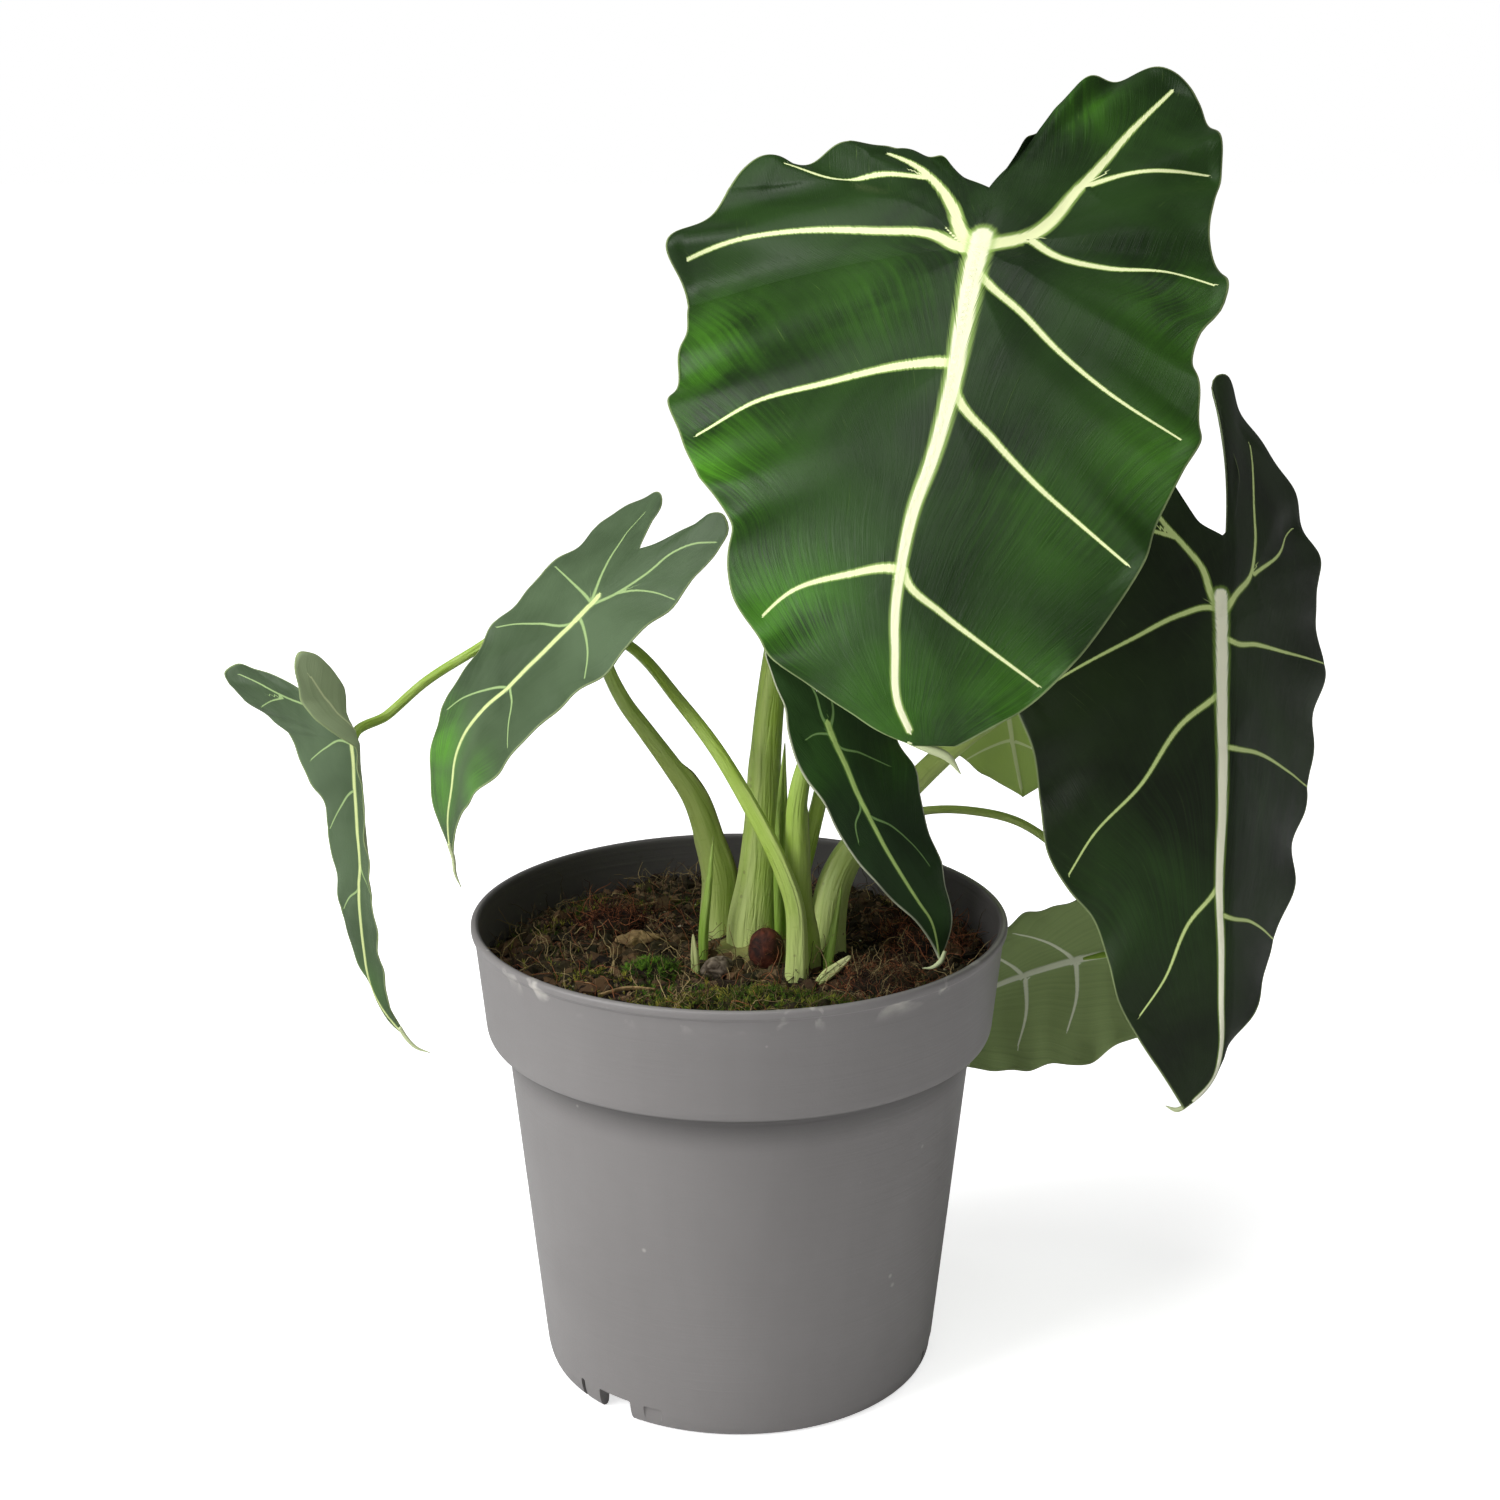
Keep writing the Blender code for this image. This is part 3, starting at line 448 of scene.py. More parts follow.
class Effect(Enum):
    """Shared effects, each one node group that gives a mask."""

    MOTTLE = "mottle"
    STREAKS = "streaks"
    SPECKS = "specks"

    def group(self) -> bpy.types.NodeTree:
        """The effect's node group, built the first time it is asked for."""
        known = bpy.data.node_groups.get(self.value)
        return known or self.build()

    def build(self) -> bpy.types.NodeTree:
        """Make the node group with its named sockets."""
        tree = bpy.data.node_groups.new(self.value, "ShaderNodeTree")
        tree.interface.new_socket("Vector", in_out="INPUT", socket_type="NodeSocketVector")
        for name in ("Scale", "Low", "High"):
            tree.interface.new_socket(name, in_out="INPUT", socket_type="NodeSocketFloat")
        tree.interface.new_socket("Mask", in_out="OUTPUT", socket_type="NodeSocketFloat")
        graph = Graph(tree)
        given = tree.nodes.new("NodeGroupInput").outputs
        vector, scale = given["Vector"], given["Scale"]
        if self is Effect.MOTTLE:
            value = graph.noise(vector, scale, 4.0, 0.6)
        elif self is Effect.STREAKS:
            value = graph.noise(graph.scaled(vector, (1.0, 0.06, 0.06)), scale, 3.0, 0.2)
        else:
            dots = graph.node("ShaderNodeTexVoronoi", Vector=vector, Scale=scale)
            size = graph.split(dots.outputs["Color"])[0]
            size = graph.times(size, 0.45)
            value = graph.math("SUBTRACT", size, dots.outputs["Distance"])
        span = graph.math("SUBTRACT", given["High"], given["Low"])
        mask = graph.math("DIVIDE", graph.math("SUBTRACT", value, given["Low"]), span, clamp=True)
        graph.put(tree.nodes.new("NodeGroupOutput").inputs["Mask"], mask)
        return tree

    def mask(self, graph: Graph, vector: object, scale: float, low: float,
             high: float) -> Socket:
        """Place the effect in a material.

        Args:
            graph: the material's nodes.
            vector: coordinates of the pattern.
            scale: how fine it is.
            low: pattern value where the mask starts.
            high: pattern value where the mask is full.

        Returns:
            The mask, from 0 to 1.
        """
        made = graph.tree.nodes.new("ShaderNodeGroup")
        made.node_tree = self.group()
        for name, value in zip(("Vector", "Scale", "Low", "High"), (vector, scale, low, high)):
            graph.put(made.inputs[name], value)
        return made.outputs["Mask"]


@dataclass(frozen=True)
class Finish:
    """A finish: the numbers every material has, and the name of its slot in the record."""

    name: str
    slot: str
    rough: float = 0.5
    specular: float = 0.5
    bump: float = 0.0002

    def material(self) -> bpy.types.Material:
        """The material, built the first time it is asked for."""
        name = "finish_" + self.name
        known = bpy.data.materials.get(name)
        if known:
            return known
        material = bpy.data.materials.new(name)
        material.use_nodes = True
        graph = Graph(material.node_tree)
        shader = material.node_tree.nodes["Principled BSDF"]
        shader.inputs["Specular IOR Level"].default_value = self.specular
        colour, rough, height = self.paint(graph)
        graph.put(shader.inputs["Base Color"], colour)
        graph.put(shader.inputs["Roughness"], rough)
        relief = graph.node("ShaderNodeBump", Height=height, Distance=self.bump)
        relief.inputs["Strength"].default_value = 1.0
        graph.put(shader.inputs["Normal"], relief.outputs[0])
        return material

    def paint(self, graph: Graph) -> tuple:
        """Colour, roughness and bump height of the surface."""
        raise NotImplementedError

    def dress(self, obj: Object) -> Object:
        """Give a piece this finish, and let it ride on the body."""
        obj.data.materials.clear()
        obj.data.materials.append(self.material())
        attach(obj, BODY)
        log.info("%s: %d faces", obj.name, len(obj.data.polygons))
        return obj


@dataclass(frozen=True)
class LeafFinish(Finish):
    """Blade skin: dark between pale veins, with brighter patches, painted highlight spots and a
    pale underside.
    """

    dark: Colour = "14260c"
    mid: Colour = "223e12"
    # colour of the painted highlight spots
    painted_highlight_colour: Colour = "4c8a1e"
    vein: Colour = "f2f4cc"
    halo: Colour = "a4c765"
    side_vein: Colour = "e9efb8"
    back: Colour = "a3b38a"
    back_vein: Colour = "cfd8a8"
    rim: Colour = "9fb07a"
    veil: float = 0.22
    specular: float = 0.2
    bump: float = 0.00007

    def paint(self, graph: Graph) -> tuple:
        """Colour, roughness and bump height of the surface."""
        place = graph.place()
        grain = graph.attribute(GRAIN).outputs["Vector"]
        main, side, near = graph.split(graph.attribute("vein").outputs["Vector"])
        edge, under, glow = graph.split(graph.attribute("leaf").outputs["Vector"])
        pale = graph.attribute("pale").outputs["Fac"]
        patches = Effect.MOTTLE.mask(graph, place, 34.0, 0.36, 0.66)
        streaks = Effect.STREAKS.mask(graph, grain, 0.55, 0.42, 0.72)
        fine = Effect.STREAKS.mask(graph, grain, 2.6, 0.45, 0.75)
        feather = graph.times(graph.math("SUBTRACT", fine, 0.35), 0.35)
        base = graph.mix(patches, self.dark, self.mid)
        base = graph.mix(graph.times(streaks, self.veil), base, self.mid)
        # painted highlights: the blade is lightened towards the highlight colour at the leaf's
        # highlight spots
        lit = graph.times(glow, graph.band(graph.plus(patches, streaks), -0.5, 1.5))
        base = graph.mix(lit, base, self.painted_highlight_colour)
        thin = graph.times(graph.band(fine, 0.75, 1.0), 0.13)
        base = graph.mix(thin, base, self.halo)
        main = graph.plus(graph.math("ABSOLUTE", main), feather)
        side = graph.plus(graph.math("ABSOLUTE", side), feather)
        close = graph.band(near, 1.4, 0.9)
        top = base
        for value, colour, gate in ((side, self.side_vein, close), (main, self.vein, 1.0)):
            soft = graph.times(graph.band(value, 1.55, 0.95), gate)
            hard = graph.times(graph.band(value, 1.0, 0.65), gate)
            top = graph.mix(graph.times(soft, 0.55), top, self.halo)
            top = graph.mix(hard, top, colour)
        shade = graph.mix(0.35, self.back, self.mid)
        below = graph.mix(graph.times(streaks, 0.5), self.back, shade)
        ribs = graph.math("MAXIMUM", graph.band(main, 1.6, 0.8),
                          graph.times(graph.band(side, 2.2, 0.9), close))
        below = graph.mix(ribs, below, self.back_vein)
        colour = graph.mix(under, top, below)
        colour = graph.mix(pale, colour, self.back_vein)
        colour = graph.mix(graph.times(graph.band(edge, 0.55, 0.1), 0.7), colour, self.rim)
        rough = graph.plus(graph.times(patches, 0.08), self.rough)
        rough = graph.plus(rough, graph.times(under, 0.2))
        height = graph.plus(graph.times(fine, 0.5), graph.times(patches, 0.5))
        return colour, rough, height


@dataclass(frozen=True)
class StalkFinish(Finish):
    """Fleshy stalk: pale at its foot, green above, streaked along its length."""

    foot: Colour = "cbd98c"
    body: Colour = "a2c04a"
    upper: Colour = "8cae38"
    mark: Colour = "5d4a2a"
    marks: float = 0.5

    def paint(self, graph: Graph) -> tuple:
        """Colour, roughness and bump height of the surface."""
        grain = graph.attribute(GRAIN).outputs["Vector"]
        rise, wing, dry = graph.split(graph.attribute("stalk").outputs["Vector"])
        along = graph.scaled(grain, (1.0, 1.0, 0.07))
        streaks = Effect.MOTTLE.mask(graph, along, 0.9, 0.35, 0.65)
        cloud = Effect.MOTTLE.mask(graph, grain, 0.12, 0.35, 0.65)
        colour = graph.mix(graph.band(rise, 0.0, 0.2), self.foot, self.body)
        colour = graph.mix(graph.band(rise, 0.35, 0.95), colour, self.upper)
        colour = graph.mix(graph.times(streaks, 0.24), colour, self.upper)
        colour = graph.mix(graph.times(cloud, 0.22), colour, self.foot)
        dashes = Effect.SPECKS.mask(graph, graph.scaled(grain, (0.35, 0.35, 1.3)), 0.8, 0.08, 0.2)
        colour = graph.mix(graph.times(dashes, 0.18), colour, self.upper)
        low = graph.times(graph.band(rise, 0.5, 0.05), self.marks)
        specks = Effect.SPECKS.mask(graph, grain, 0.32, 0.22, 0.3)
        colour = graph.mix(graph.times(specks, low), colour, self.mark)
        colour = graph.mix(graph.times(wing, 0.45), colour, self.foot)
        colour = graph.mix(dry, colour, self.mark)
        rough = graph.plus(graph.times(streaks, 0.12), self.rough)
        return colour, rough, streaks


@dataclass(frozen=True)
class LitterFinish(Finish):
    """Loose matter in three tones, each bit with its own."""

    dark: Colour = "100b07"
    mid: Colour = "32251a"
    light: Colour = "6b5138"
    accent: Colour = "3c3f20"
    scale: float = 260.0
    accent_share: float = 0.3

    def paint(self, graph: Graph) -> tuple:
        """Colour, roughness and bump height of the surface."""
        place = graph.place()
        tone = graph.attribute(TONE).outputs["Fac"]
        fine = Effect.MOTTLE.mask(graph, place, self.scale, 0.35, 0.68)
        broad = Effect.MOTTLE.mask(graph, place, 48.0, 0.42, 0.62)
        colour = graph.mix(fine, self.dark, self.mid)
        colour = graph.mix(graph.times(graph.band(tone, 0.35, 1.0), 0.85), colour, self.light)
        colour = graph.mix(graph.times(broad, self.accent_share), colour, self.accent)
        return colour, self.rough, fine


@dataclass(frozen=True)
class PotFinish(Finish):
    """Satin moulded grey plastic with faint flow marks, dust, chalky stains on the lip and painted
    shade on the inner wall above the soil.
    """

    base: Colour = "848180"
    deep: Colour = "6f6c6b"
    chalk: Colour = "d9d5cc"
    # painted shade on the inner wall above the soil; flare and middle give that wall's radius
    # against height, in metres
    painted_inner_shade: Colour = "3d3b3a"
    flare: float = 0.1
    middle: float = 0.0486
    lip_z: float = 0.1054

    def paint(self, graph: Graph) -> tuple:
        """Colour, roughness and bump height of the surface."""
        place = graph.place()
        _, depth, height = graph.split(place)
        cloud = Effect.MOTTLE.mask(graph, place, 16.0, 0.35, 0.7)
        drawn = Effect.MOTTLE.mask(graph, graph.scaled(place, (1.0, 1.0, 0.05)), 120.0, 0.35, 0.7)
        ring = Effect.MOTTLE.mask(graph, graph.scaled(place, (0.02, 0.02, 1.0)), 900.0, 0.4, 0.6)
        grain = Effect.MOTTLE.mask(graph, place, 1500.0, 0.3, 0.7)
        colour = graph.mix(graph.times(cloud, 0.35), self.base, self.deep)
        colour = graph.mix(graph.times(drawn, 0.1), colour, self.deep)
        # painted shade: the inner wall of the collar above the soil is darkened
        across = graph.node("ShaderNodeVectorMath", Vector=graph.scaled(place, (1.0, 1.0, 0.0)))
        across.operation = "LENGTH"
        wall = graph.math("MULTIPLY_ADD", height, self.flare, self.middle)
        inside = graph.band(graph.math("SUBTRACT", across.outputs["Value"], wall), 0.0, -0.0005)
        inside = graph.times(inside, graph.band(height, 0.07, 0.08))
        colour = graph.mix(graph.times(inside, 0.75), colour, self.painted_inner_shade)
        pits = Effect.SPECKS.mask(graph, place, 150.0, 0.33, 0.4)
        colour = graph.mix(graph.times(pits, 0.35), colour, self.chalk)
        stain = Effect.MOTTLE.mask(graph, place, 120.0, 0.57, 0.69)
        level = graph.band(height, self.lip_z - 0.006, self.lip_z - 0.001)
        front = graph.band(depth, -0.02, -0.045)
        stain = graph.times(graph.times(stain, level), graph.times(front, 0.7))
        colour = graph.mix(stain, colour, self.chalk)
        rough = graph.plus(graph.times(cloud, 0.1), self.rough)
        rough = graph.plus(rough, graph.times(stain, 0.3))
        relief = graph.plus(graph.times(grain, 0.35), graph.times(ring, 0.65))
        return colour, rough, relief


GREEN_LEAF = LeafFinish("green_leaf", "leaf_green", 0.36)
BLACK_LEAF = LeafFinish("black_green_leaf", "leaf_green", 0.4, dark="182012", mid="243319",
                        painted_highlight_colour="345f20", vein="fbfbe0", halo="88aa4c",
                        side_vein="cfe094")
SMALL_LEAF = LeafFinish("small_green_leaf", "leaf_green", 0.38, dark="1d3216", mid="2b471f",
                        painted_highlight_colour="3c6b22", vein="b9d67c", halo="6f9a46",
                        side_vein="7fa264", rim="d9dfc0")
# leaf colour: its own dull green, greyed and lightened further by a painted sheen of the white
# surroundings
PAINTED_SHEEN_LEAF = LeafFinish("painted_sheen_leaf", "leaf_grey", 0.42, dark="3c4e33", mid="566a4c",
                       painted_highlight_colour="5fa528", vein="d6e29c", halo="8aa869",
                       side_vein="9db87c")
# leaf at the back: its own pale green, lightened to yellow-green by painted light shining through
# the blade from behind
PAINTED_BACKLIT_LEAF = LeafFinish("painted_backlit_leaf", "leaf_grey", 0.45, dark="94b850", mid="a9c862",
                       painted_highlight_colour="c0da7a", vein="e0eca8", halo="bcd67c",
                       side_vein="d0e298", back="b0ce6a", back_vein="dcebaa")
PALE_LEAF = LeafFinish("pale_back_leaf", "leaf_grey", 0.5, dark="4a5c40", mid="4e6238",
                       back="93a86c", back_vein="e2e8cc")
STALK = StalkFinish("stalk", "stalk", 0.38)
CORKY_STALK = StalkFinish("corky_stalk", "stalk", 0.42, body="b0c568", marks=0.9)
BRACT = StalkFinish("bract", "bract", 0.5, foot="a9bf6c", body="7da238", upper="93b04c")
DRY_BRACT = StalkFinish("dry_bract", "bract", 0.5, foot="b5c47a", body="a9bd6a",
                        upper="c3c78e")
PEAT = LitterFinish("peat", "soil", 0.92, 0.2)
CRUMBS = LitterFinish("crumbs", "soil", 0.9, 0.25, light="7a6248", accent="4a4a2c")
GRAINS = LitterFinish("pale_grains", "soil", 0.7, 0.4, dark="8f8468", mid="b3a88a",
                      light="d8d0b8", accent="9c9a64")
CORM = LitterFinish("corm_skin", "corm", 0.8, 0.3, dark="1c0d08", mid="6a3320",
                    light="b57850", accent="2a120a", scale=330.0)
CORM_TOP = LitterFinish("corm_top", "corm", 0.7, 0.3, dark="55502e", mid="858a4c",
                        light="a9b070", accent="5a4a2c")
WOODY = LitterFinish("woody", "corm", 0.9, 0.2, dark="3a3026", mid="85796a",
                     light="b5ab94", accent="4d4636", scale=700.0)
BARK = LitterFinish("bark", "bark", 0.8, 0.3, dark="6b5436", mid="b09466",
                    light="d2ba88", accent="6a5a38", scale=500.0)
MOSS = LitterFinish("moss", "moss", 0.85, 0.2, dark="1d200a", mid="474c16",
                    light="a39c40", accent="40670f", accent_share=0.5)
GREEN_MOSS = LitterFinish("green_moss", "moss", 0.8, 0.25, dark="1d3008", mid="3c6412",
                          light="6f9a2a", accent="4d5a1c")
FIBRE = LitterFinish("fibre", "fibre", 0.85, 0.25, dark="1c0d07", mid="4f2617",
                     light="b0704a", accent="33220f", scale=600.0)
BROWN_FIBRE = LitterFinish("brown_fibre", "fibre", 0.85, 0.25, dark="1f1710", mid="4c3c25",
                           light="b8a272", accent="4a4d24", scale=600.0)
PLASTIC = PotFinish("grey_plastic", "pot_plastic", 0.42, 0.45, 0.00003)


Vein = tuple[list, float, float]


@dataclass(frozen=True)
class Leaf:
    """One leaf's sizes: how the blade hangs, its outline, its veins and its ripples."""

    at: Point
    azimuth: float
    droop: float
    roll: float
    bend: float
    length: float
    lobe: float
    lean: Point
    fold_l: Point
    fold_r: Point
    cup: float
    rake: Point
    cleft: Point
    midrib: list
    tip: Point
    left: list
    right: list
    finish: LeafFinish
    main_vein: Vein
    side_veins: list[Vein] = field(default_factory=list)
    rows: int = 180
    columns: int = 36
    quilt: float = 0.5
    wave: float = 0.8
    wave_length: float = 26.0
    ripples: list[Point] = field(default_factory=list)
    # painted highlight spots on the upper side, as (u, v, radius, strength)
    painted_highlights: list[Point] = field(default_factory=list)
    drip: list[Point] = field(default_factory=list)


def plain_veins(leaf_half: float, length: float, lobe: float) -> list[Vein]:
    """Side veins of a simple leaf, from its half width, length and lobe length."""
    veins = []
    for side in (-1.0, 1.0):
        w = side * leaf_half
        back = [(0, 0), (0.22, -0.28), (0.48, -0.62), (0.62, -0.9)]
        veins.append(([(u * w, v * lobe) for u, v in back], 0.5, 0.15))
        veins.append(([(0, 0.5), (0.4 * w, -0.05 * lobe), (0.88 * w, -0.16 * lobe)], 0.4, 0.12))
        for share in (0.18, 0.4, 0.62):
            line = [(0, share), (0.35, share + 0.05), (0.75, share + 0.16)]
            veins.append(([(u * w, v * length) for u, v in line], 0.38, 0.1))
    return veins


LEAVES = {
    "front": Leaf(
        at=(48.7, -14.0, 156.1), azimuth=-15, droop=40, roll=0, bend=32, length=109.5, lobe=45,
        lean=(20, 5), fold_l=(0, 12, 12), fold_r=(12, 12, 12), cup=0.0012, rake=(1.35, 2.4),
        cleft=(-0.5, -18),
        midrib=[(0, 0), (0, 21), (-0.3, 38), (-2, 53), (-4.2, 63), (-5.3, 76), (-5, 90), (-3, 102)],
        tip=(0.8, 109.5),
        left=[(-5, -21.5), (-9.5, -26), (-15, -32), (-20, -36), (-28, -37), (-39, -35.5),
              (-50, -35), (-57, -31.5), (-60.5, -25.5), (-64.5, -19), (-69, -14), (-68, -6),
              (-66, 1), (-64.3, 11), (-64.5, 18), (-64, 27), (-60, 38), (-53, 51), (-46.5, 59),
              (-42.3, 67), (-41, 76), (-37, 85), (-31, 92), (-22, 98.5), (-12, 104), (-4, 108)],
        right=[(3, -27), (7, -39), (10, -48), (14, -56), (20, -62), (27, -66.5), (33, -67),
               (38.5, -61), (43, -50), (46, -38), (45, -27), (45, -18), (48.5, -9), (49.5, 3),
               (46, 11), (45.5, 19), (47.5, 29), (48.5, 38), (45.5, 47), (42.5, 57), (40, 68),
               (35, 80), (29.5, 90), (22, 99.5), (13, 106.5), (6, 110)],
        finish=GREEN_LEAF, rows=380, columns=76, quilt=1.0, wave=1.3, wave_length=24.0,
        main_vein=([(0.2, -4), (0, 0), (0, 21), (-0.2, 38), (-1.9, 53.5), (-3.9, 63), (-5, 76),
                    (-4.9, 87),
                    (-4.4, 91), (-2.7, 102), (0, 107)], 2.35, 0.6),
        side_veins=[
            ([(0, 0), (9.1, -5.3), (18, -24), (20.5, -30), (26, -45), (33, -63)], 1.7, 0.35),
            ([(18.8, -24), (26, -29.7), (37, -35), (44, -38)], 0.8, 0.2),
            ([(9.5, -4.8), (15.4, -1.4), (25.6, -0.9), (39, -3.4), (48, -1.9)], 1.0, 0.22),
            ([(0, 6), (2.9, 9.4), (9.9, 15), (20, 24.4), (30, 31.5), (45, 39.4)], 1.0, 0.22),
            ([(0, 35), (0.9, 38), (9.5, 47), (17.8, 54.5), (27.3, 61.7), (37.4, 69.3)], 1.0, 0.22),
            ([(-4.8, 75), (-3.6, 78), (3.5, 83.5), (12, 89), (23.3, 96)], 0.8, 0.2),
            ([(0, 0), (-2.7, -2.3), (-7.7, -13.6), (-13.3, -23), (-18.5, -29), (-25.5, -35)],
             1.6, 0.5),
            ([(-14.3, -24), (-25.4, -26), (-35.8, -27.8), (-48, -33)], 0.8, 0.25),
            ([(0, 1), (-3.6, -0.3), (-10.5, -5.4), (-22.6, -8.4), (-40, -11), (-53, -10.8),
              (-65.6, -9.5)], 1.35, 0.3),
            ([(0, 31), (-2.5, 30.5), (-12, 30), (-28.5, 31.8), (-42.8, 33.6), (-56.7, 40)],
             1.25, 0.3),
            ([(-4.6, 76), (-6.5, 75.7), (-15.4, 76.7), (-26.5, 79.6), (-33.7, 85)], 1.0, 0.25)],
        ripples=[(-56, -13.5, 24, 5.5, 3.2), (-50, -24, 20, 6.0, -4.0), (-60, 10, 14, 9, -1.2),
                 (44, -17, 8, 8, -1.6), (44, 20, 9, 9, -1.6), (-45, 55, 8, 10, -1.4)],
        painted_highlights=[(-54, 52, 16, 0.95), (-58, 16, 13, 0.6), (-30, 85, 14, 0.75), (-5, 104, 12, 0.55),
               (20, 100, 12, 0.6), (42, 8, 12, 0.35), (40, 45, 12, 0.4), (14, -48, 10, 0.4),
               (-20, 12, 14, 0.25), (22, 62, 14, 0.25)],
        drip=[(-1.2, 0.3, 0.6, 0.25), (2.4, 0.1, -0.4, 0.8), (6.4, 0.2, -2.2, 0.8),
              (9.0, 0.6, -5.6, 0.12)]),
    "right": Leaf(
        at=(106.1, 8.0, 75.6), azimuth=9, droop=68, roll=0, bend=16, length=108.5, lobe=42,
        lean=(8, 18), fold_l=(8, 8, 8), fold_r=(44, 44, 44), cup=0.0012, rake=(2.6, 1.33),
        cleft=(2, -18),
        midrib=[(0, 0), (-1.5, 18), (-2.8, 40), (-4.3, 60), (-4.3, 74), (-4.5, 85), (-6, 98)],
        tip=(-13, 108.5),
        left=[(-2.5, -21), (-6, -26), (-10, -35), (-15, -46), (-22, -55), (-30, -58), (-38, -52),
              (-44, -40), (-47, -26), (-49, -10), (-48, 6), (-46, 18), (-43, 28), (-42, 40),
              (-41, 51), (-37, 59), (-32, 65.5), (-29, 75), (-27, 84), (-22.5, 93), (-17.5, 101)],
        right=[(6, -22), (9.5, -28), (10.5, -37), (9.6, -47), (10, -56), (12, -64), (17, -66.5),
               (25.5, -61), (34, -54), (43, -45), (49, -37), (50.5, -25), (48.5, -10), (50, 2),
               (47.5, 14.5), (44.5, 27), (39, 41), (32, 56), (25.5, 69), (17, 79.5), (6.5, 89.5),
               (-2.5, 99), (-8, 105.5)],
        finish=BLACK_LEAF, rows=290, columns=50, quilt=0.6, wave=0.9, wave_length=30.0,
        main_vein=([(0.3, -5), (0, 0), (-1.4, 18), (-2.7, 40), (-4.3, 60.5), (-4.2, 74), (-4.4, 85),
                    (-4.6, 96.6), (-6, 102), (-11, 107)], 1.6, 0.45),
        side_veins=[
            ([(0, 0), (3.7, -4), (13, -10.8), (16.4, -19), (19.7, -32), (25.5, -52)], 0.9, 0.25),
            ([(14.4, -11), (27, -18), (45, -34.7)], 0.55, 0.18),
            ([(0, 5), (2, 5.7), (14.5, 5.5), (31, 6), (51, 7)], 0.65, 0.2),
            ([(-2, 29), (0, 29.3), (12.6, 30.3), (29, 34.3), (44.6, 40)], 0.6, 0.2),
            ([(-4.3, 65.5), (-3.2, 66), (8.5, 68.6), (26.3, 77)], 0.5, 0.18),
            ([(0, 0), (-1.9, -4.6), (-3.2, -10.5), (-6.6, -16), (-10.6, -21.5), (-17, -34),
              (-24, -48)],
             0.8, 0.25),
            ([(-8, -18), (-18, -22), (-32, -30), (-40, -40)], 0.5, 0.15),
            ([(0, -1), (-2.3, -1.8), (-9.2, -0.5), (-19.6, 4), (-31.6, 9.5), (-42, 15)], 0.65, 0.2),
            ([(-1.6, 17), (-2.8, 18), (-9.9, 23), (-20.7, 37), (-31, 47), (-37, 56)], 0.65, 0.18),
            ([(-4.3, 59), (-5.2, 60.4), (-11, 67), (-17, 80), (-22.5, 88)], 0.5, 0.16)],
        ripples=[(-40, 35, 8, 9, -1.5), (44, 12, 10, 10, 1.2), (40, -30, 8, 10, -1.2)],
        painted_highlights=[(-20, 60, 18, 0.3), (10, 40, 20, 0.2)],
        drip=[(1.5, 0.4, 1.2, 0.4), (-1.5, 0.3, -0.3, 0.55), (-3.8, 0.8, 0.4, 0.1)]),
    "centre": Leaf(
        at=(19.3, -15.0, 55.5), azimuth=32, droop=58, roll=0, bend=28, length=51.5, lobe=28,
        lean=(5, 5), fold_l=(5, 5, 5), fold_r=(15, 15, 15), cup=0.001, rake=(1.6, 1.3),
        cleft=(0, -9),
        midrib=[(0, 0), (1.2, 7.3), (2.3, 13.8), (4.2, 19.7), (6.9, 26.8), (11.1, 34.2),
                (15.3, 40.2), (18, 46)],
        tip=(17.5, 53.5),
        left=[(-2, -14), (-4.5, -20), (-7.5, -22.5), (-9.3, -19.5), (-9.2, -13.5), (-8.8, -7),
              (-10, -1), (-10.1, 4), (-8.5, 9.7), (-6.3, 15.3), (-3.8, 22.6), (-0.8, 28.8),
              (3.2, 34.5), (8, 39.9), (12.5, 44.7), (15.3, 49)],
        right=[(2.5, -14), (5.5, -20), (9.5, -23), (13.5, -20), (16, -13), (18, -5), (20.5, 4),
               (22.3, 10.5), (21.8, 17), (21, 23.2), (21.3, 29.8), (21.8, 35.4), (22, 41.5),
               (21, 47.5), (19.3, 51)],
        finish=SMALL_LEAF, rows=190, columns=34, quilt=0.3, wave=0.35, wave_length=18.0,
        main_vein=([(0, -2), (0, 0), (1.1, 7.4), (2.1, 13.8), (3.8, 19.8), (6.1, 26.8), (9.6, 34),
                    (13, 40), (15.7, 44.4), (17, 50), (17.3, 53)], 0.75, 0.22),
        side_veins=[
            ([(0, 0), (-0.8, -3), (-0.7, -8.5), (-4, -17)], 0.35, 0.1),
            ([(0, 0), (2.5, -4.3), (3, -6.7), (7, -16)], 0.35, 0.1),
            ([(0, 1), (-0.9, 0.7), (-3.7, 0.3), (-6.8, 1.3)], 0.3, 0.1),
            ([(2.4, 16), (2.3, 17.5), (0.3, 20.7), (0.2, 25.3)], 0.25, 0.1),
            ([(0.4, 2.5), (0.9, 3.6), (6.6, 5.8), (15, 9.7)], 0.3, 0.1),
            ([(3.8, 19.4), (4.4, 19.9), (9.3, 22.7), (13.9, 27), (18, 33)], 0.25, 0.1)],
        painted_highlights=[(-4, 8, 8, 0.3), (17, 10, 6, 0.4), (20, 44, 6, 0.5)],
        drip=[(1.2, 0, 2.0, 0.4), (0.2, -0.2, -0.4, 0.6), (-1.6, -0.2, -1.7, 0.4),
              (-3.6, 0, -1.9, 0.1)]),
    "left": Leaf(
        at=(-31.7, -5.0, 80.5), azimuth=-69, droop=44.5, roll=-21, bend=45, length=65.0, lobe=26,
        lean=(9, -9), fold_l=(15, 5, -8), fold_r=(4, -6, -20), cup=0.002, rake=(1.85, 1.4),
        cleft=(-0.5, -16.3),
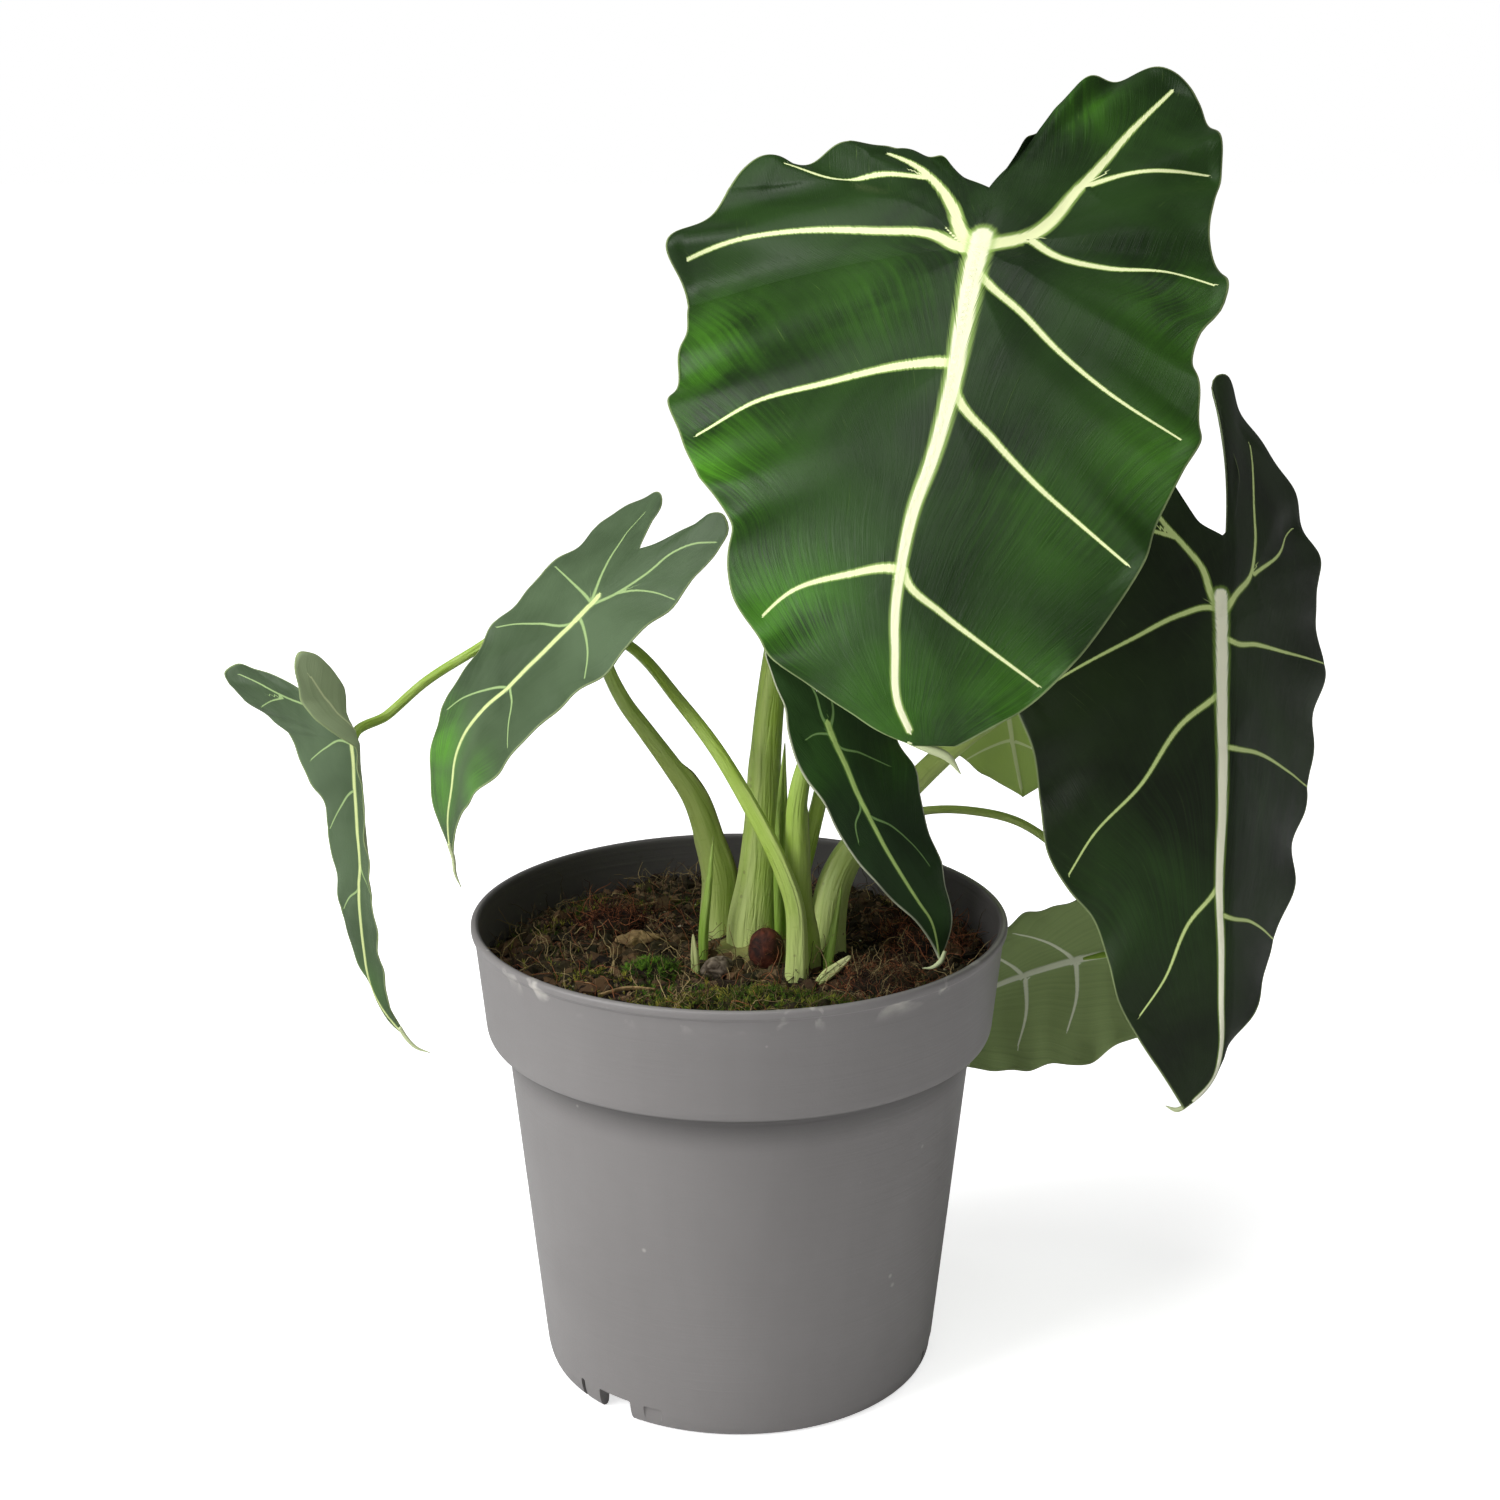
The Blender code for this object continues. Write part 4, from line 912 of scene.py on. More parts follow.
        midrib=[(0, 0), (-0.1, 4.7), (-1.1, 11.8), (-2.8, 18.9), (-4.7, 24.8), (-8, 32.4),
                (-9.8, 40.4), (-9, 46), (-7, 54)],
        tip=(-3.5, 66.5),
        left=[(-3.7, -20.6), (-8, -24.9), (-14, -30.2), (-18.5, -28.8), (-22.5, -24.8),
              (-24.3, -19), (-22.8, -12), (-22, -5), (-21.6, 2), (-21.2, 9), (-21.4, 16),
              (-20.8, 23.5), (-20.6, 31), (-20.8, 38), (-20.2, 43.5), (-17.8, 48.5),
              (-15.8, 54), (-13, 58.6), (-9, 61.8)],
        right=[(1.8, -18.4), (4.5, -22.1), (8.1, -27.2), (11.3, -31), (14.2, -32.4),
               (17, -30.6), (18, -26), (17.8, -19), (18.2, -12), (18.4, -5), (18.8, 2),
               (19.4, 9), (17.8, 15.2), (15.4, 21.1), (13.8, 27.8), (12.2, 35.1), (9, 42),
               (3.6, 49.6), (-0.5, 55), (-2.8, 60)],
        finish=PAINTED_SHEEN_LEAF, rows=210, columns=36, quilt=0.35, wave=0.45, wave_length=17.0,
        main_vein=([(0, -3), (0, 0), (-0.2, 4.7), (-1.1, 11.8), (-2.7, 19), (-4.3, 24.8),
                    (-7.8, 32),
                    (-10, 40), (-9.8, 45), (-8, 51), (-6.6, 59), (-4, 66)], 0.75, 0.3),
        side_veins=[
            ([(0, 0), (-4.5, -6.9), (-9, -13.7), (-11.7, -18.3), (-12.5, -24.6)], 0.4, 0.15),
            ([(0, 0), (3.7, -5.5), (6.2, -12), (8, -19), (11.7, -23.7), (16.5, -27)], 0.4, 0.15),
            ([(3.7, -5.5), (7.3, -8.3), (11.5, -10.3), (17, -12)], 0.3, 0.1),
            ([(0, -0.5), (-1.8, -0.8), (-10.5, -1.5), (-20.7, -2.1)], 0.35, 0.12),
            ([(-0.2, 5), (-1, 6), (-9, 10), (-15.3, 13.4), (-20.3, 17)], 0.35, 0.12),
            ([(-4.5, 25), (-5.6, 25.4), (-10.9, 28.9), (-15.8, 33.3), (-19.3, 38)], 0.3, 0.12),
            ([(0, 3.5), (1.3, 3.9), (5.9, 5.8), (9.7, 7.9), (16, 13)], 0.35, 0.12),
            ([(-4.3, 24), (-3.9, 24.5), (0.2, 26.8), (4.1, 30.3), (9, 33.9)], 0.3, 0.12)],
        painted_highlights=[(-17, 45, 7, 0.9), (-12, 55, 7, 0.7), (4, 45, 6, 0.55), (-18, 38, 5, 0.4)],
        drip=[(-0.6, 0, 3.0, 0.5), (0.3, 0, -0.5, 0.45), (0.6, 0, -4.0, 0.35),
              (1.8, 0, -7.2, 0.1)]),
    "far_left": Leaf(
        at=(-86.6, 8.0, 46.8), azimuth=-22, droop=84, roll=0, bend=8, length=65.5, lobe=17,
        lean=(4, 4), fold_l=(0, 10, 20), fold_r=(-105, -70, -25), cup=0.001, rake=(1.5, 1.4),
        cleft=(-3, -6.5),
        midrib=[(0, 0), (0.9, 11), (1.5, 19.6), (1.9, 31.5), (2.3, 40), (3.2, 48), (5.4, 56.5)],
        tip=(12.5, 68),
        left=[(-10, -9), (-17, -12), (-25, -14), (-31.5, -14.6), (-34, -12.6), (-31.5, -9),
              (-27.5, -5.5), (-23, -2.6), (-19, -0.6), (-17, 2.5), (-15, 6.8), (-12, 10.6),
              (-8.8, 14), (-7.2, 19), (-6.2, 25), (-5, 30), (-4.2, 36), (-3, 42), (-0.6, 48.5),
              (2, 54), (4.8, 59.5), (7.8, 64.8)],
        right=[(-1.5, -9), (1, -13), (6, -17.5), (11, -20), (14.5, -20), (15.5, -17),
               (14, -11), (11.5, -5), (8, 1), (5.6, 6), (5, 11), (6.8, 16), (8, 22), (8, 30),
               (8.3, 37), (8.7, 44), (8.6, 51), (8.2, 58), (9.5, 63.5)],
        finish=PAINTED_SHEEN_LEAF, rows=200, columns=32, quilt=0.25, wave=0.3, wave_length=14.0,
        main_vein=([(-1, -3), (0, 0), (1.3, 11.3), (1.9, 20.5), (2.6, 27.8), (2.1, 33.3),
                    (2.3, 41.4),
                    (2.9, 49), (4, 56.4), (6.9, 62), (11.5, 67)], 0.55, 0.22),
        side_veins=[
            ([(0, 0), (-7.6, -5.3), (-11.5, -6.9), (-16.8, -8.2), (-25, -11), (-30.8, -12.6)],
             0.35, 0.1),
            ([(-17.2, -8.4), (-21.8, -7.1), (-25, -5.4)], 0.2, 0.1),
            ([(0, 0.5), (-2.6, 0), (-7.2, 2.3), (-12.2, 5.9)], 0.28, 0.1),
            ([(1, 11), (0.2, 11.5), (-2.7, 15.2), (-6.4, 21.2)], 0.25, 0.1),
            ([(2.1, 33), (1.9, 33.6), (-0.6, 36), (-3.1, 39.6)], 0.25, 0.1),
            ([(2.6, 27.6), (3.2, 29.7), (8, 33.9)], 0.2, 0.1),
            ([(0, 0), (5, -8), (12, -16)], 0.25, 0.1)],
        painted_highlights=[(2, 58, 6, 0.3)],
        drip=[(-1.4, 0, 2.4, 0.5), (0, -0.2, 0, 0.5), (2.2, -0.5, -2.3, 0.4),
              (5.4, -0.6, -3.6, 0.1)]),
    "low_right": Leaf(
        at=(93.0, 46.0, -16.8), azimuth=-110, droop=22, roll=75, bend=22, length=62.0, lobe=27,
        lean=(20, 10), fold_l=(10, 10, 10), fold_r=(20, 20, 20), cup=0.001, rake=(1.4, 1.6),
        cleft=(0, -11), midrib=[(0, 0), (0.8, 14), (0.6, 30), (-0.5, 46)], tip=(-1, 62),
        left=[(-3, -18), (-7, -26), (-13, -31), (-19, -29), (-23, -22), (-25, -13), (-25.5, -4),
              (-23.5, 4), (-25, 12), (-27, 20), (-24, 28), (-23.5, 36), (-19, 45), (-12, 54),
              (-5, 60)],
        right=[(3, -18), (7, -26), (12, -30), (16, -26), (19, -18), (20.5, -9), (20.5, 0),
               (21, 9), (20, 18), (18, 28), (15.5, 37), (12, 46), (7, 54), (2, 60)],
        finish=PALE_LEAF, rows=190, columns=34, quilt=0.9, wave=0.9, wave_length=15.0,
        main_vein=([(0, -3), (0, 0), (0.8, 14), (0.6, 30), (-0.5, 46), (-1, 60)], 0.9, 0.3),
        side_veins=plain_veins(24.0, 62.0, 27.0)),
    "back": Leaf(
        at=(61.4, 42.0, 58.7), azimuth=165, droop=48, roll=0, bend=15, length=54.0, lobe=23,
        lean=(10, 10), fold_l=(8, 8, 8), fold_r=(14, 14, 14), cup=0.001, rake=(1.5, 1.5),
        cleft=(0, -9), midrib=[(0, 0), (0, 18), (-0.5, 36)], tip=(-2, 54),
        left=[(-3, -15), (-6.5, -22), (-11, -25.5), (-15.5, -22), (-18.5, -14), (-19.5, -5),
              (-20, 4), (-20, 13), (-19, 22), (-17, 31), (-13, 40), (-8, 48)],
        right=[(3, -15), (6.5, -22), (11, -25.5), (15.5, -22), (18.5, -14), (19.5, -5), (20.5, 4),
               (21, 13), (20, 22), (17, 31), (11.5, 40), (5, 48)],
        finish=PAINTED_BACKLIT_LEAF, rows=170, columns=32, quilt=0.5, wave=0.5, wave_length=15.0,
        main_vein=([(0, -3), (0, 0), (0, 18), (-0.5, 36), (-1.8, 52)], 0.8, 0.3),
        side_veins=plain_veins(19.0, 54.0, 23.0)),
}


class Blade:
    """Bends a leaf's flat outline into the way it hangs, and builds both of its skins."""

    crease = 4.0
    rib_spread = 1.7
    rim_half = 0.13
    body_half = 0.3
    vein_rise = 0.10
    vein_sink = 0.12
    keel_share = 0.9
    edge_points = 1600
    chunk = 4000

    def __init__(self, name: str, leaf: Leaf) -> None:
        """Work out the leaf's own directions."""
        self.name, self.leaf = name, leaf
        self.at = np.array(leaf.at, float) + (0.0, 0.0, GROUND)
        az, droop, roll = (math.radians(a) for a in (leaf.azimuth, leaf.droop, leaf.roll))
        self.along = np.array([math.sin(az) * math.cos(droop), -math.cos(az) * math.cos(droop),
                               -math.sin(droop)])
        side = np.array([math.cos(az), math.sin(az), 0.0])
        normal = np.cross(self.along, side)
        self.side = spin(side, self.along, roll)
        self.normal = spin(normal, self.along, roll)
        mid = np.array([leaf.cleft] + leaf.midrib + [leaf.tip], float)
        self.mid_v, self.mid_u = mid[:, 1], mid[:, 0]

    def spine(self, v: Array) -> Array:
        """Distance along, distance down and turn angle of the midrib at v."""
        leaf = self.leaf
        reach = np.linspace(0.0, 1.25 * leaf.length, 120)
        turn = math.radians(leaf.bend) * (reach / leaf.length) ** 1.3
        step = np.diff(reach)
        along = np.concatenate([[0], np.cumsum((np.cos(turn[1:]) + np.cos(turn[:-1])) / 2 * step)])
        down = np.concatenate([[0], np.cumsum((np.sin(turn[1:]) + np.sin(turn[:-1])) / 2 * step)])
        return np.stack([np.interp(v, reach, line) for line in (along, down, turn)], -1)

    def lobe(self, v: Array, lean: float) -> Array:
        """The same for the lobes, which bend back on a round arc."""
        back = np.clip(-v, 0.0, None)
        curve = math.radians(lean) / self.leaf.lobe
        return np.stack([-np.sin(curve * back) / curve, (1 - np.cos(curve * back)) / curve,
                         -curve * back], -1)

    def fold(self, v: Array, keys: Point) -> Array:
        """Fold angle at v from its values at the lobe, the stalk and the tip."""
        return np.radians(np.interp(v, [-0.6 * self.leaf.lobe, 0.0, self.leaf.length], keys))

    def place(self, u: Array, v: Array) -> Array:
        """Points in space for flat leaf coordinates."""
        leaf = self.leaf
        u, v = np.asarray(u, float), np.asarray(v, float)
        blend = smoothstep(u, -12.0, 12.0)[..., None]
        lobe = self.lobe(v, leaf.lean[0]) * (1 - blend) + self.lobe(v, leaf.lean[1]) * blend
        along, down, turn = np.moveaxis(np.where((v < 0)[..., None], lobe, self.spine(v)), -1, 0)
        centre = np.interp(v, self.mid_v, self.mid_u)
        off = u - centre
        angle = np.where(off < 0, self.fold(v, leaf.fold_l), self.fold(v, leaf.fold_r))
        angle = np.where(np.abs(angle) < 1e-4, 1e-4, angle)
        arc = np.minimum(np.abs(off), self.crease)
        rest = np.abs(off) - arc
        turned = angle * arc / self.crease
        across = np.sin(turned) * self.crease / angle + rest * np.cos(angle)
        drop = ((1 - np.cos(turned)) * self.crease / angle + rest * np.sin(angle)
                + leaf.cup * off * off)
        up = np.cos(turn)[..., None] * self.normal + np.sin(turn)[..., None] * self.along
        base = self.at + along[..., None] * self.along - down[..., None] * self.normal
        return base + (centre + np.sign(off) * across)[..., None] * self.side - drop[..., None] * up

    def out(self, u: Array, v: Array) -> Array:
        """Direction of the upper side at flat leaf coordinates."""
        step = 0.4
        across = self.place(u + step, v) - self.place(u - step, v)
        along = self.place(u, v + step) - self.place(u, v - step)
        return unit(np.cross(along, across))

    def under(self, v: float, gap: float) -> Array:
        """Point below the midrib at v, a gap away from the blade."""
        at = np.array([v])
        u = np.interp(at, self.mid_v, self.mid_u)
        return (self.place(u, at) - self.out(u, at) * gap)[0]

    def half(self, side: str) -> tuple[Array, Array]:
        """Flat grid of one half, and how far each row's end is along the margin.

        Args:
            side: left or right.

        Returns:
            Points (u, v) in rows from the midrib to the margin, and the rows' margin lengths.
        """
        leaf, count = self.leaf, self.edge_points
        edge = smooth_line([leaf.cleft, *getattr(leaf, side), leaf.tip], count)
        rake = leaf.rake[0 if side == "left" else 1]
        cross = int(np.argmax(edge[:, 1] > 0.0))
        low_rows = 2 * round(leaf.rows * 0.2)
        lobe_t = np.arange(low_rows + 1) / low_rows
        blade_t = np.arange(1, leaf.rows - low_rows + 1) / (leaf.rows - low_rows)
        reach = np.maximum.accumulate(edge[cross:, 1]) + np.arange(count - cross) * 1e-6
        spread = leaf.tip[1] * blade_t ** (self.rib_spread / rake)
        pick = np.interp(spread, reach, np.arange(cross, count))
        pick = np.concatenate([cross * lobe_t, pick])
        pick[-1] = count - 1
        order = np.arange(count)
        margin = np.stack([np.interp(pick, order, edge[:, k]) for k in (0, 1)], -1)
        spine_v = np.concatenate([leaf.cleft[1] * (1 - lobe_t) ** 2,
                                  leaf.tip[1] * blade_t ** self.rib_spread])
        start = np.stack([np.interp(spine_v, self.mid_v, self.mid_u), spine_v], -1)
        t = np.linspace(0.0, 1.0, leaf.columns + 1)[None, :, None]
        run = np.concatenate([[0.0], np.cumsum(np.linalg.norm(np.diff(margin, axis=0), axis=1))])
        return start[:, None] * (1 - t) + margin[:, None] * t, run

    @staticmethod
    def nearest(points: Array, veins: list[Vein], stretch: float) -> tuple[Array, Array]:
        """Signed distance to the nearest of some veins, and that vein's half width there.

        Args:
            points: flat places (u, v), one to a row.
            veins: lines with their first and last half widths.
            stretch: how much longer a distance counts beyond a vein's ends.

        Returns:
            Distances and half widths.
        """
        spots, ways, widths, bias = [], [], [], []
        for line, first, last in veins:
            fine = smooth_line(line, max(8, int(length_of(line) / 0.5)))
            spots.append(fine)
            ways.append(unit(np.gradient(fine, axis=0)))
            widths.append(np.linspace(first ** 0.5, last ** 0.5, len(fine)) ** 2)
            bias.append(np.where(np.arange(len(fine)) % (len(fine) - 1) == 0, 8.0, 1.0))
        spot, way, width = np.concatenate(spots), np.concatenate(ways), np.concatenate(widths)
        share = np.concatenate(bias).astype(np.float32)
        distance, half = np.zeros(len(points)), np.zeros(len(points))
        for first in range(0, len(points), Blade.chunk):
            block = slice(first, first + Blade.chunk)
            part = points[block]
            gap = ((part[:, None].astype(np.float32) - spot[None].astype(np.float32)) ** 2).sum(-1)
            pick = (gap * share).argmin(1)
            move = part - spot[pick]
            cross = way[pick, 0] * move[:, 1] - way[pick, 1] * move[:, 0]
            past = np.abs((way[pick] * move).sum(1))
            full = np.hypot(cross, np.where(past > 0.35, stretch * past, 0.0))
            distance[block] = np.where(cross < 0, -full, full)
            half[block] = width[pick]
        return distance, half

    def relief(self, grid: Array, main: Array, side: Array, run: Array) -> Array:
        """Height of the upper side above the smooth leaf: quilting, waves and ripples."""
        leaf = self.leaf
        u, v = grid[..., 0], grid[..., 1]
        near = np.minimum(np.abs(main), np.abs(side))
        height = leaf.quilt * (1 - np.exp(-(near / 6.0) ** 2))
        height -= self.vein_sink * np.exp(-(side / 1.3) ** 2)
        t = np.linspace(0.0, 1.0, leaf.columns + 1)[None, :]
        swing = run[:, None] / leaf.wave_length
        wave = np.sin(TURN * swing + leaf.azimuth) + 0.6 * np.sin(TURN * swing * 1.63 + 2.0)
        ends = smoothstep(run, 4.0, 18.0) * smoothstep(run[-1] - run, 4.0, 18.0)
        height = height + leaf.wave * wave * ends[:, None] * t ** 3
        for cu, cv, su, sv, lift in leaf.ripples:
            height = height + lift * np.exp(-((u - cu) / su) ** 2 - ((v - cv) / sv) ** 2)
        flat = np.stack([u, v, 0 * u], -1)
        return height + 0.12 * noise(flat, 9.0, 3) + 0.35 * noise(flat, 26.0, 5)

    def skin(self, draft: Draft, grid: Array, run: Array, offset: Array, height: Array,
             veins: Array, under: float) -> Array:
        """Add one side of one half to the mesh.

        Args:
            draft: mesh that takes it.
            grid: flat points (u, v).
            run: margin length at each row.
            offset: half the thickness, less than zero below.
            height: relief that both sides share.
            veins: what the finish needs to know of the veins.
            under: 0 for the upper side, 1 for the lower.

        Returns:
            The vertex numbers.
        """
        leaf = self.leaf
        u, v = grid[..., 0], grid[..., 1]
        places = self.place(u, v) + self.out(u, v) * (height + offset)[..., None]
        t = np.linspace(0.0, 1.0, grid.shape[1])[None, :]
        reach = np.linalg.norm(grid[:, -1] - grid[:, 0], axis=-1)[:, None]
        edge = (1 - t) * reach + 0 * u
        # strength of the painted highlight at each vertex, from the leaf's spots
        glow = np.zeros_like(u)
        for cu, cv, radius, strength in leaf.painted_highlights:
            away = (u - cu) ** 2 + (v - cv) ** 2
            glow = np.maximum(glow, strength * np.exp(-away / radius ** 2))
        marks = np.stack([edge, 0 * u + under, glow], -1)
        grain = np.stack([run[:, None] * (0.25 + 0.75 * t), t * reach, 0 * u + under * 40.0], -1)
        return draft.add(places, vein=veins, leaf=marks, pale=0 * u, **{GRAIN: grain})

    def build(self) -> Object:
        """The whole blade as one closed mesh."""
        leaf, draft = self.leaf, Draft()
        for side in ("left", "right"):
            grid, run = self.half(side)
            flat = grid.reshape(-1, 2)
            shape = grid.shape[:2]
            main, main_half = (a.reshape(shape) for a in self.nearest(flat, [leaf.main_vein], 1.0))
            near, near_half = (a.reshape(shape) for a in self.nearest(flat, leaf.side_veins, 4.0))
            main = np.abs(main)
            height = self.relief(grid, main, near, run)
            veins = np.stack([main / main_half, near / near_half, np.abs(near) - near_half], -1)
            veins = np.clip(veins, -VEIN_CLIP, VEIN_CLIP)
            t = np.linspace(0.0, 1.0, leaf.columns + 1)[None, :]
            thick = self.rim_half + (self.body_half - self.rim_half) * smoothstep(1 - t, 0.0, 0.3)
            rows = np.arange(len(run))
            thick = thick * smoothstep(rows, -2.0, 6.0)[:, None] + 0 * main
            raised = self.vein_rise * np.exp(-(main / main_half) ** 4)
            top = self.skin(draft, grid, run, thick + raised, height, veins, 0.0)
            keel = main_half * np.exp(-(main / (1.1 * main_half)) ** 2)
            keel = keel + 0.9 * near_half * np.exp(-(near / (1.3 * near_half)) ** 2)
            keel = keel * self.keel_share * (1 - t ** 4)
            few = (slice(None, None, 2), slice(None, None, 2))
            low = self.skin(draft, grid[few], run[::2], (-thick - keel)[few], height[few],
                            veins[few], 1.0)
            turned = side == "left"
            draft.quads(top, flip=turned)
            draft.quads(low, flip=not turned)
            rim, hem = top[:, -1], low[:, -1]
            a, b, c = rim[0:-1:2], rim[1::2], rim[2::2]
            p, q = hem[:-1], hem[1:]
            wall = np.concatenate([np.stack(s, -1) for s in ((a, b, p), (b, c, q), (b, q, p))])
            draft.tris(wall, flip=turned)
        self.tail(draft)
        return draft.make("leaf_" + self.name, weld=0.004)

    def tail(self, draft: Draft, sides: int = 10) -> None:
        """Add the thin drip tip that hangs from the end of the blade."""
        if not self.leaf.drip:
            return
        end = self.place(np.array([self.leaf.tip[0]]), np.array([self.leaf.tip[1]]))[0]
        line = smooth_line([(*(end + spot[:3]), spot[3]) for spot in self.leaf.drip], 22)
        ones = np.ones((len(line), sides, 1))
        loft(draft, line[:, :3], line[:, 3], sides, vein=ones * ([VEIN_CLIP] * 3), pale=0.75 * ones,
             leaf=ones * (9.0, 1.0, 0.0))



@dataclass(frozen=True)
class Stalk:
    """A leaf stalk: its line as (x, y, height, radius) and the sheath edges along its foot."""

    line: list[Point]
    wings: list[Point] = field(default_factory=list)
    finish: StalkFinish = STALK

    def build(self, name: str, blade: Blade) -> Object:
        """The stalk, from below the soil to the thick rib under its blade.

        Args:
            name: name of the leaf.
            blade: the blade that the stalk carries.

        Returns:
            The finished mesh object.
        """
        x, y, _, radius = self.line[0]
        points = [(x, y, GROUND - 5.0, radius * 0.96)]
        points += [(px, py, GROUND + h, r) for px, py, h, r in self.line]
        tip = self.line[-1][3]
        for v, gap, share in ((-0.6, 1.15, 0.95), (3.5, 0.75, 0.8), (9.0, 0.3, 0.5)):
            spot = blade.under(v, tip * gap)
            points.append((*spot, tip * share))
        return self.sweep(points, "stalk_" + name)

    def sweep(self, points: list[Point], name: str, sides: int = 32, step: float = 0.9) -> Object:
        """Loft the stalk through (x, y, z, radius) points.

        Args:
            points: the line in millimetres.
            name: name of the piece.
            sides: vertices in a ring.
            step: distance between rings.

        Returns:
            The finished mesh object.
        """
        draft = Draft()
        count = max(24, int(length_of([p[:3] for p in points]) / step))
        line = smooth_line(points, count)
        share = np.linspace(0.0, 1.0, count)[:, None]
        angle = TURN * np.arange(sides)[None, :] / sides
        radius = line[:, 3:4] * (1 + 0.02 * np.cos(3 * angle + 5 * share))
        wobble = np.stack([share[:, 0] * 90, 0 * share[:, 0], 0 * share[:, 0]], -1)
        radius = radius * (1 + 0.025 * noise(wobble, 9.0, len(points)))[:, None]
        edge, dry = np.zeros((count, sides)), np.zeros((count, sides))
        for where, first, last, lift, brown in self.wings:
            gap = (angle - math.radians(where) - 0.5 * share + math.pi) % TURN - math.pi
            span = smoothstep(share, first - 0.02, first + 0.06)
            span = span * smoothstep(last - share, 0.0, 0.05)
            ridge = np.exp(-(gap / 0.2) ** 2) * span
            radius = radius * (1 + lift * ridge)
            edge = np.maximum(edge, np.exp(-(gap / 0.28) ** 2) * span)
            dry = np.maximum(dry, brown * np.exp(-(gap / 0.13) ** 2) * span)
        marks = np.stack([share + 0 * angle, edge, dry], -1)
        loft(draft, line[:, :3], radius, sides, stalk=marks)
        return draft.make(name)


STALKS = {
    "front": Stalk([(3, 0.5, 0, 5.5), (3, 0.5, 6.7, 5.2), (4.2, 1.2, 15.7, 4.5),
                    (5.3, 2.5, 29.7, 3.8), (6.2, 3, 49.7, 3.3), (8.5, 3, 69.7, 2.9),
                    (14, 2, 94.7, 2.6), (24, 0, 119.7, 2.4), (36, -4.5, 140.7, 2.3),
                    (44.5, -9, 150.2, 2.2)],
                   [(238, 0.03, 0.42, 0.1, 0.0), (185, 0.0, 0.3, 0.14, 0.1)]),
    "right": Stalk([(20.2, -0.8, 0, 3.8), (20.3, -0.7, 5.7, 3.6), (22, 1, 15.7, 3.2),
                    (27, 4, 24.7, 2.9), (37, 8, 34.7, 2.7), (50, 12, 46.2, 2.5),
                    (68, 16, 57.7, 2.3), (86, 17, 69.7, 2.1), (98, 15.5, 75.7, 1.9)],
                   [(200, 0.0, 0.22, 0.25, 0.2)], CORKY_STALK),
    "centre": Stalk([(14.4, -10.2, 0, 3.4), (14.3, -10.3, 5.7, 3.2), (13, -11.5, 15.7, 2.8),
                     (12.6, -12, 27.7, 2.5), (12.8, -12, 39.7, 2.2), (15, -12, 48.7, 1.8)],
                    [(330, 0.0, 0.62, 0.22, 0.35)]),
    "left": Stalk([(-5, 9, 0, 4.0), (-5, 9, 5.7, 3.8), (-5, 8, 15.7, 3.4), (-7.2, 7, 24.7, 2.9),
                   (-10.3, 5, 34.7, 2.5), (-15, 3, 42.7, 2.2), (-20.4, 1, 51, 1.9),
                   (-25.3, -1, 58.7, 1.7), (-29, -2.6, 67.7, 1.5)],
                  [(345, 0.02, 0.5, 0.42, 0.85), (200, 0.0, 0.34, 0.16, 0.3)], CORKY_STALK),
    "far_left": Stalk([(12.5, -17.6, 0, 2.6), (12.6, -17.7, 6.7, 2.4), (12, -17.2, 16.7, 2.1),
                       (8.7, -16, 26.3, 1.9), (2.6, -12.5, 37.7, 1.8), (-5.4, -8, 50.2, 1.6),
                       (-13, -2, 58.7, 1.4), (-24, 10, 68, 1.2), (-36, 18, 72, 1.1),
                       (-49.8, 22, 70.3, 1.1), (-61, 23, 63.7, 1.1), (-72, 22.5, 56.7, 1.1),
                       (-80, 18.5, 50.2, 1.1)],
                      [(300, 0.0, 0.3, 0.25, 0.0)]),
    "low_right": Stalk([(18.7, 9, 0, 3.0), (19, 9, 6.7, 2.8), (21, 11, 14.7, 2.4),
                        (25.5, 13, 21.7, 2.0), (33, 16, 25.7, 1.4), (43, 20, 27, 1.0),
                        (54, 25, 25.4, 1.0), (66, 29, 21.2, 1.0), (77, 30, 12.7, 1.0),
                        (85, 31, 1.7, 1.0),
                        (90, 36, -9.3, 1.0)], [], CORKY_STALK),
    "back": Stalk([(10.4, 8.6, 0, 2.6), (10.8, 8.7, 6.7, 2.4), (14.2, 9.3, 16.7, 2.0),
                   (17.5, 10.5, 29.7, 1.8), (20, 12, 39.7, 1.6), (27, 18, 50.7, 1.4),
                   (39, 27, 57.2, 1.2), (51, 36, 59.7, 1.1)]),
}


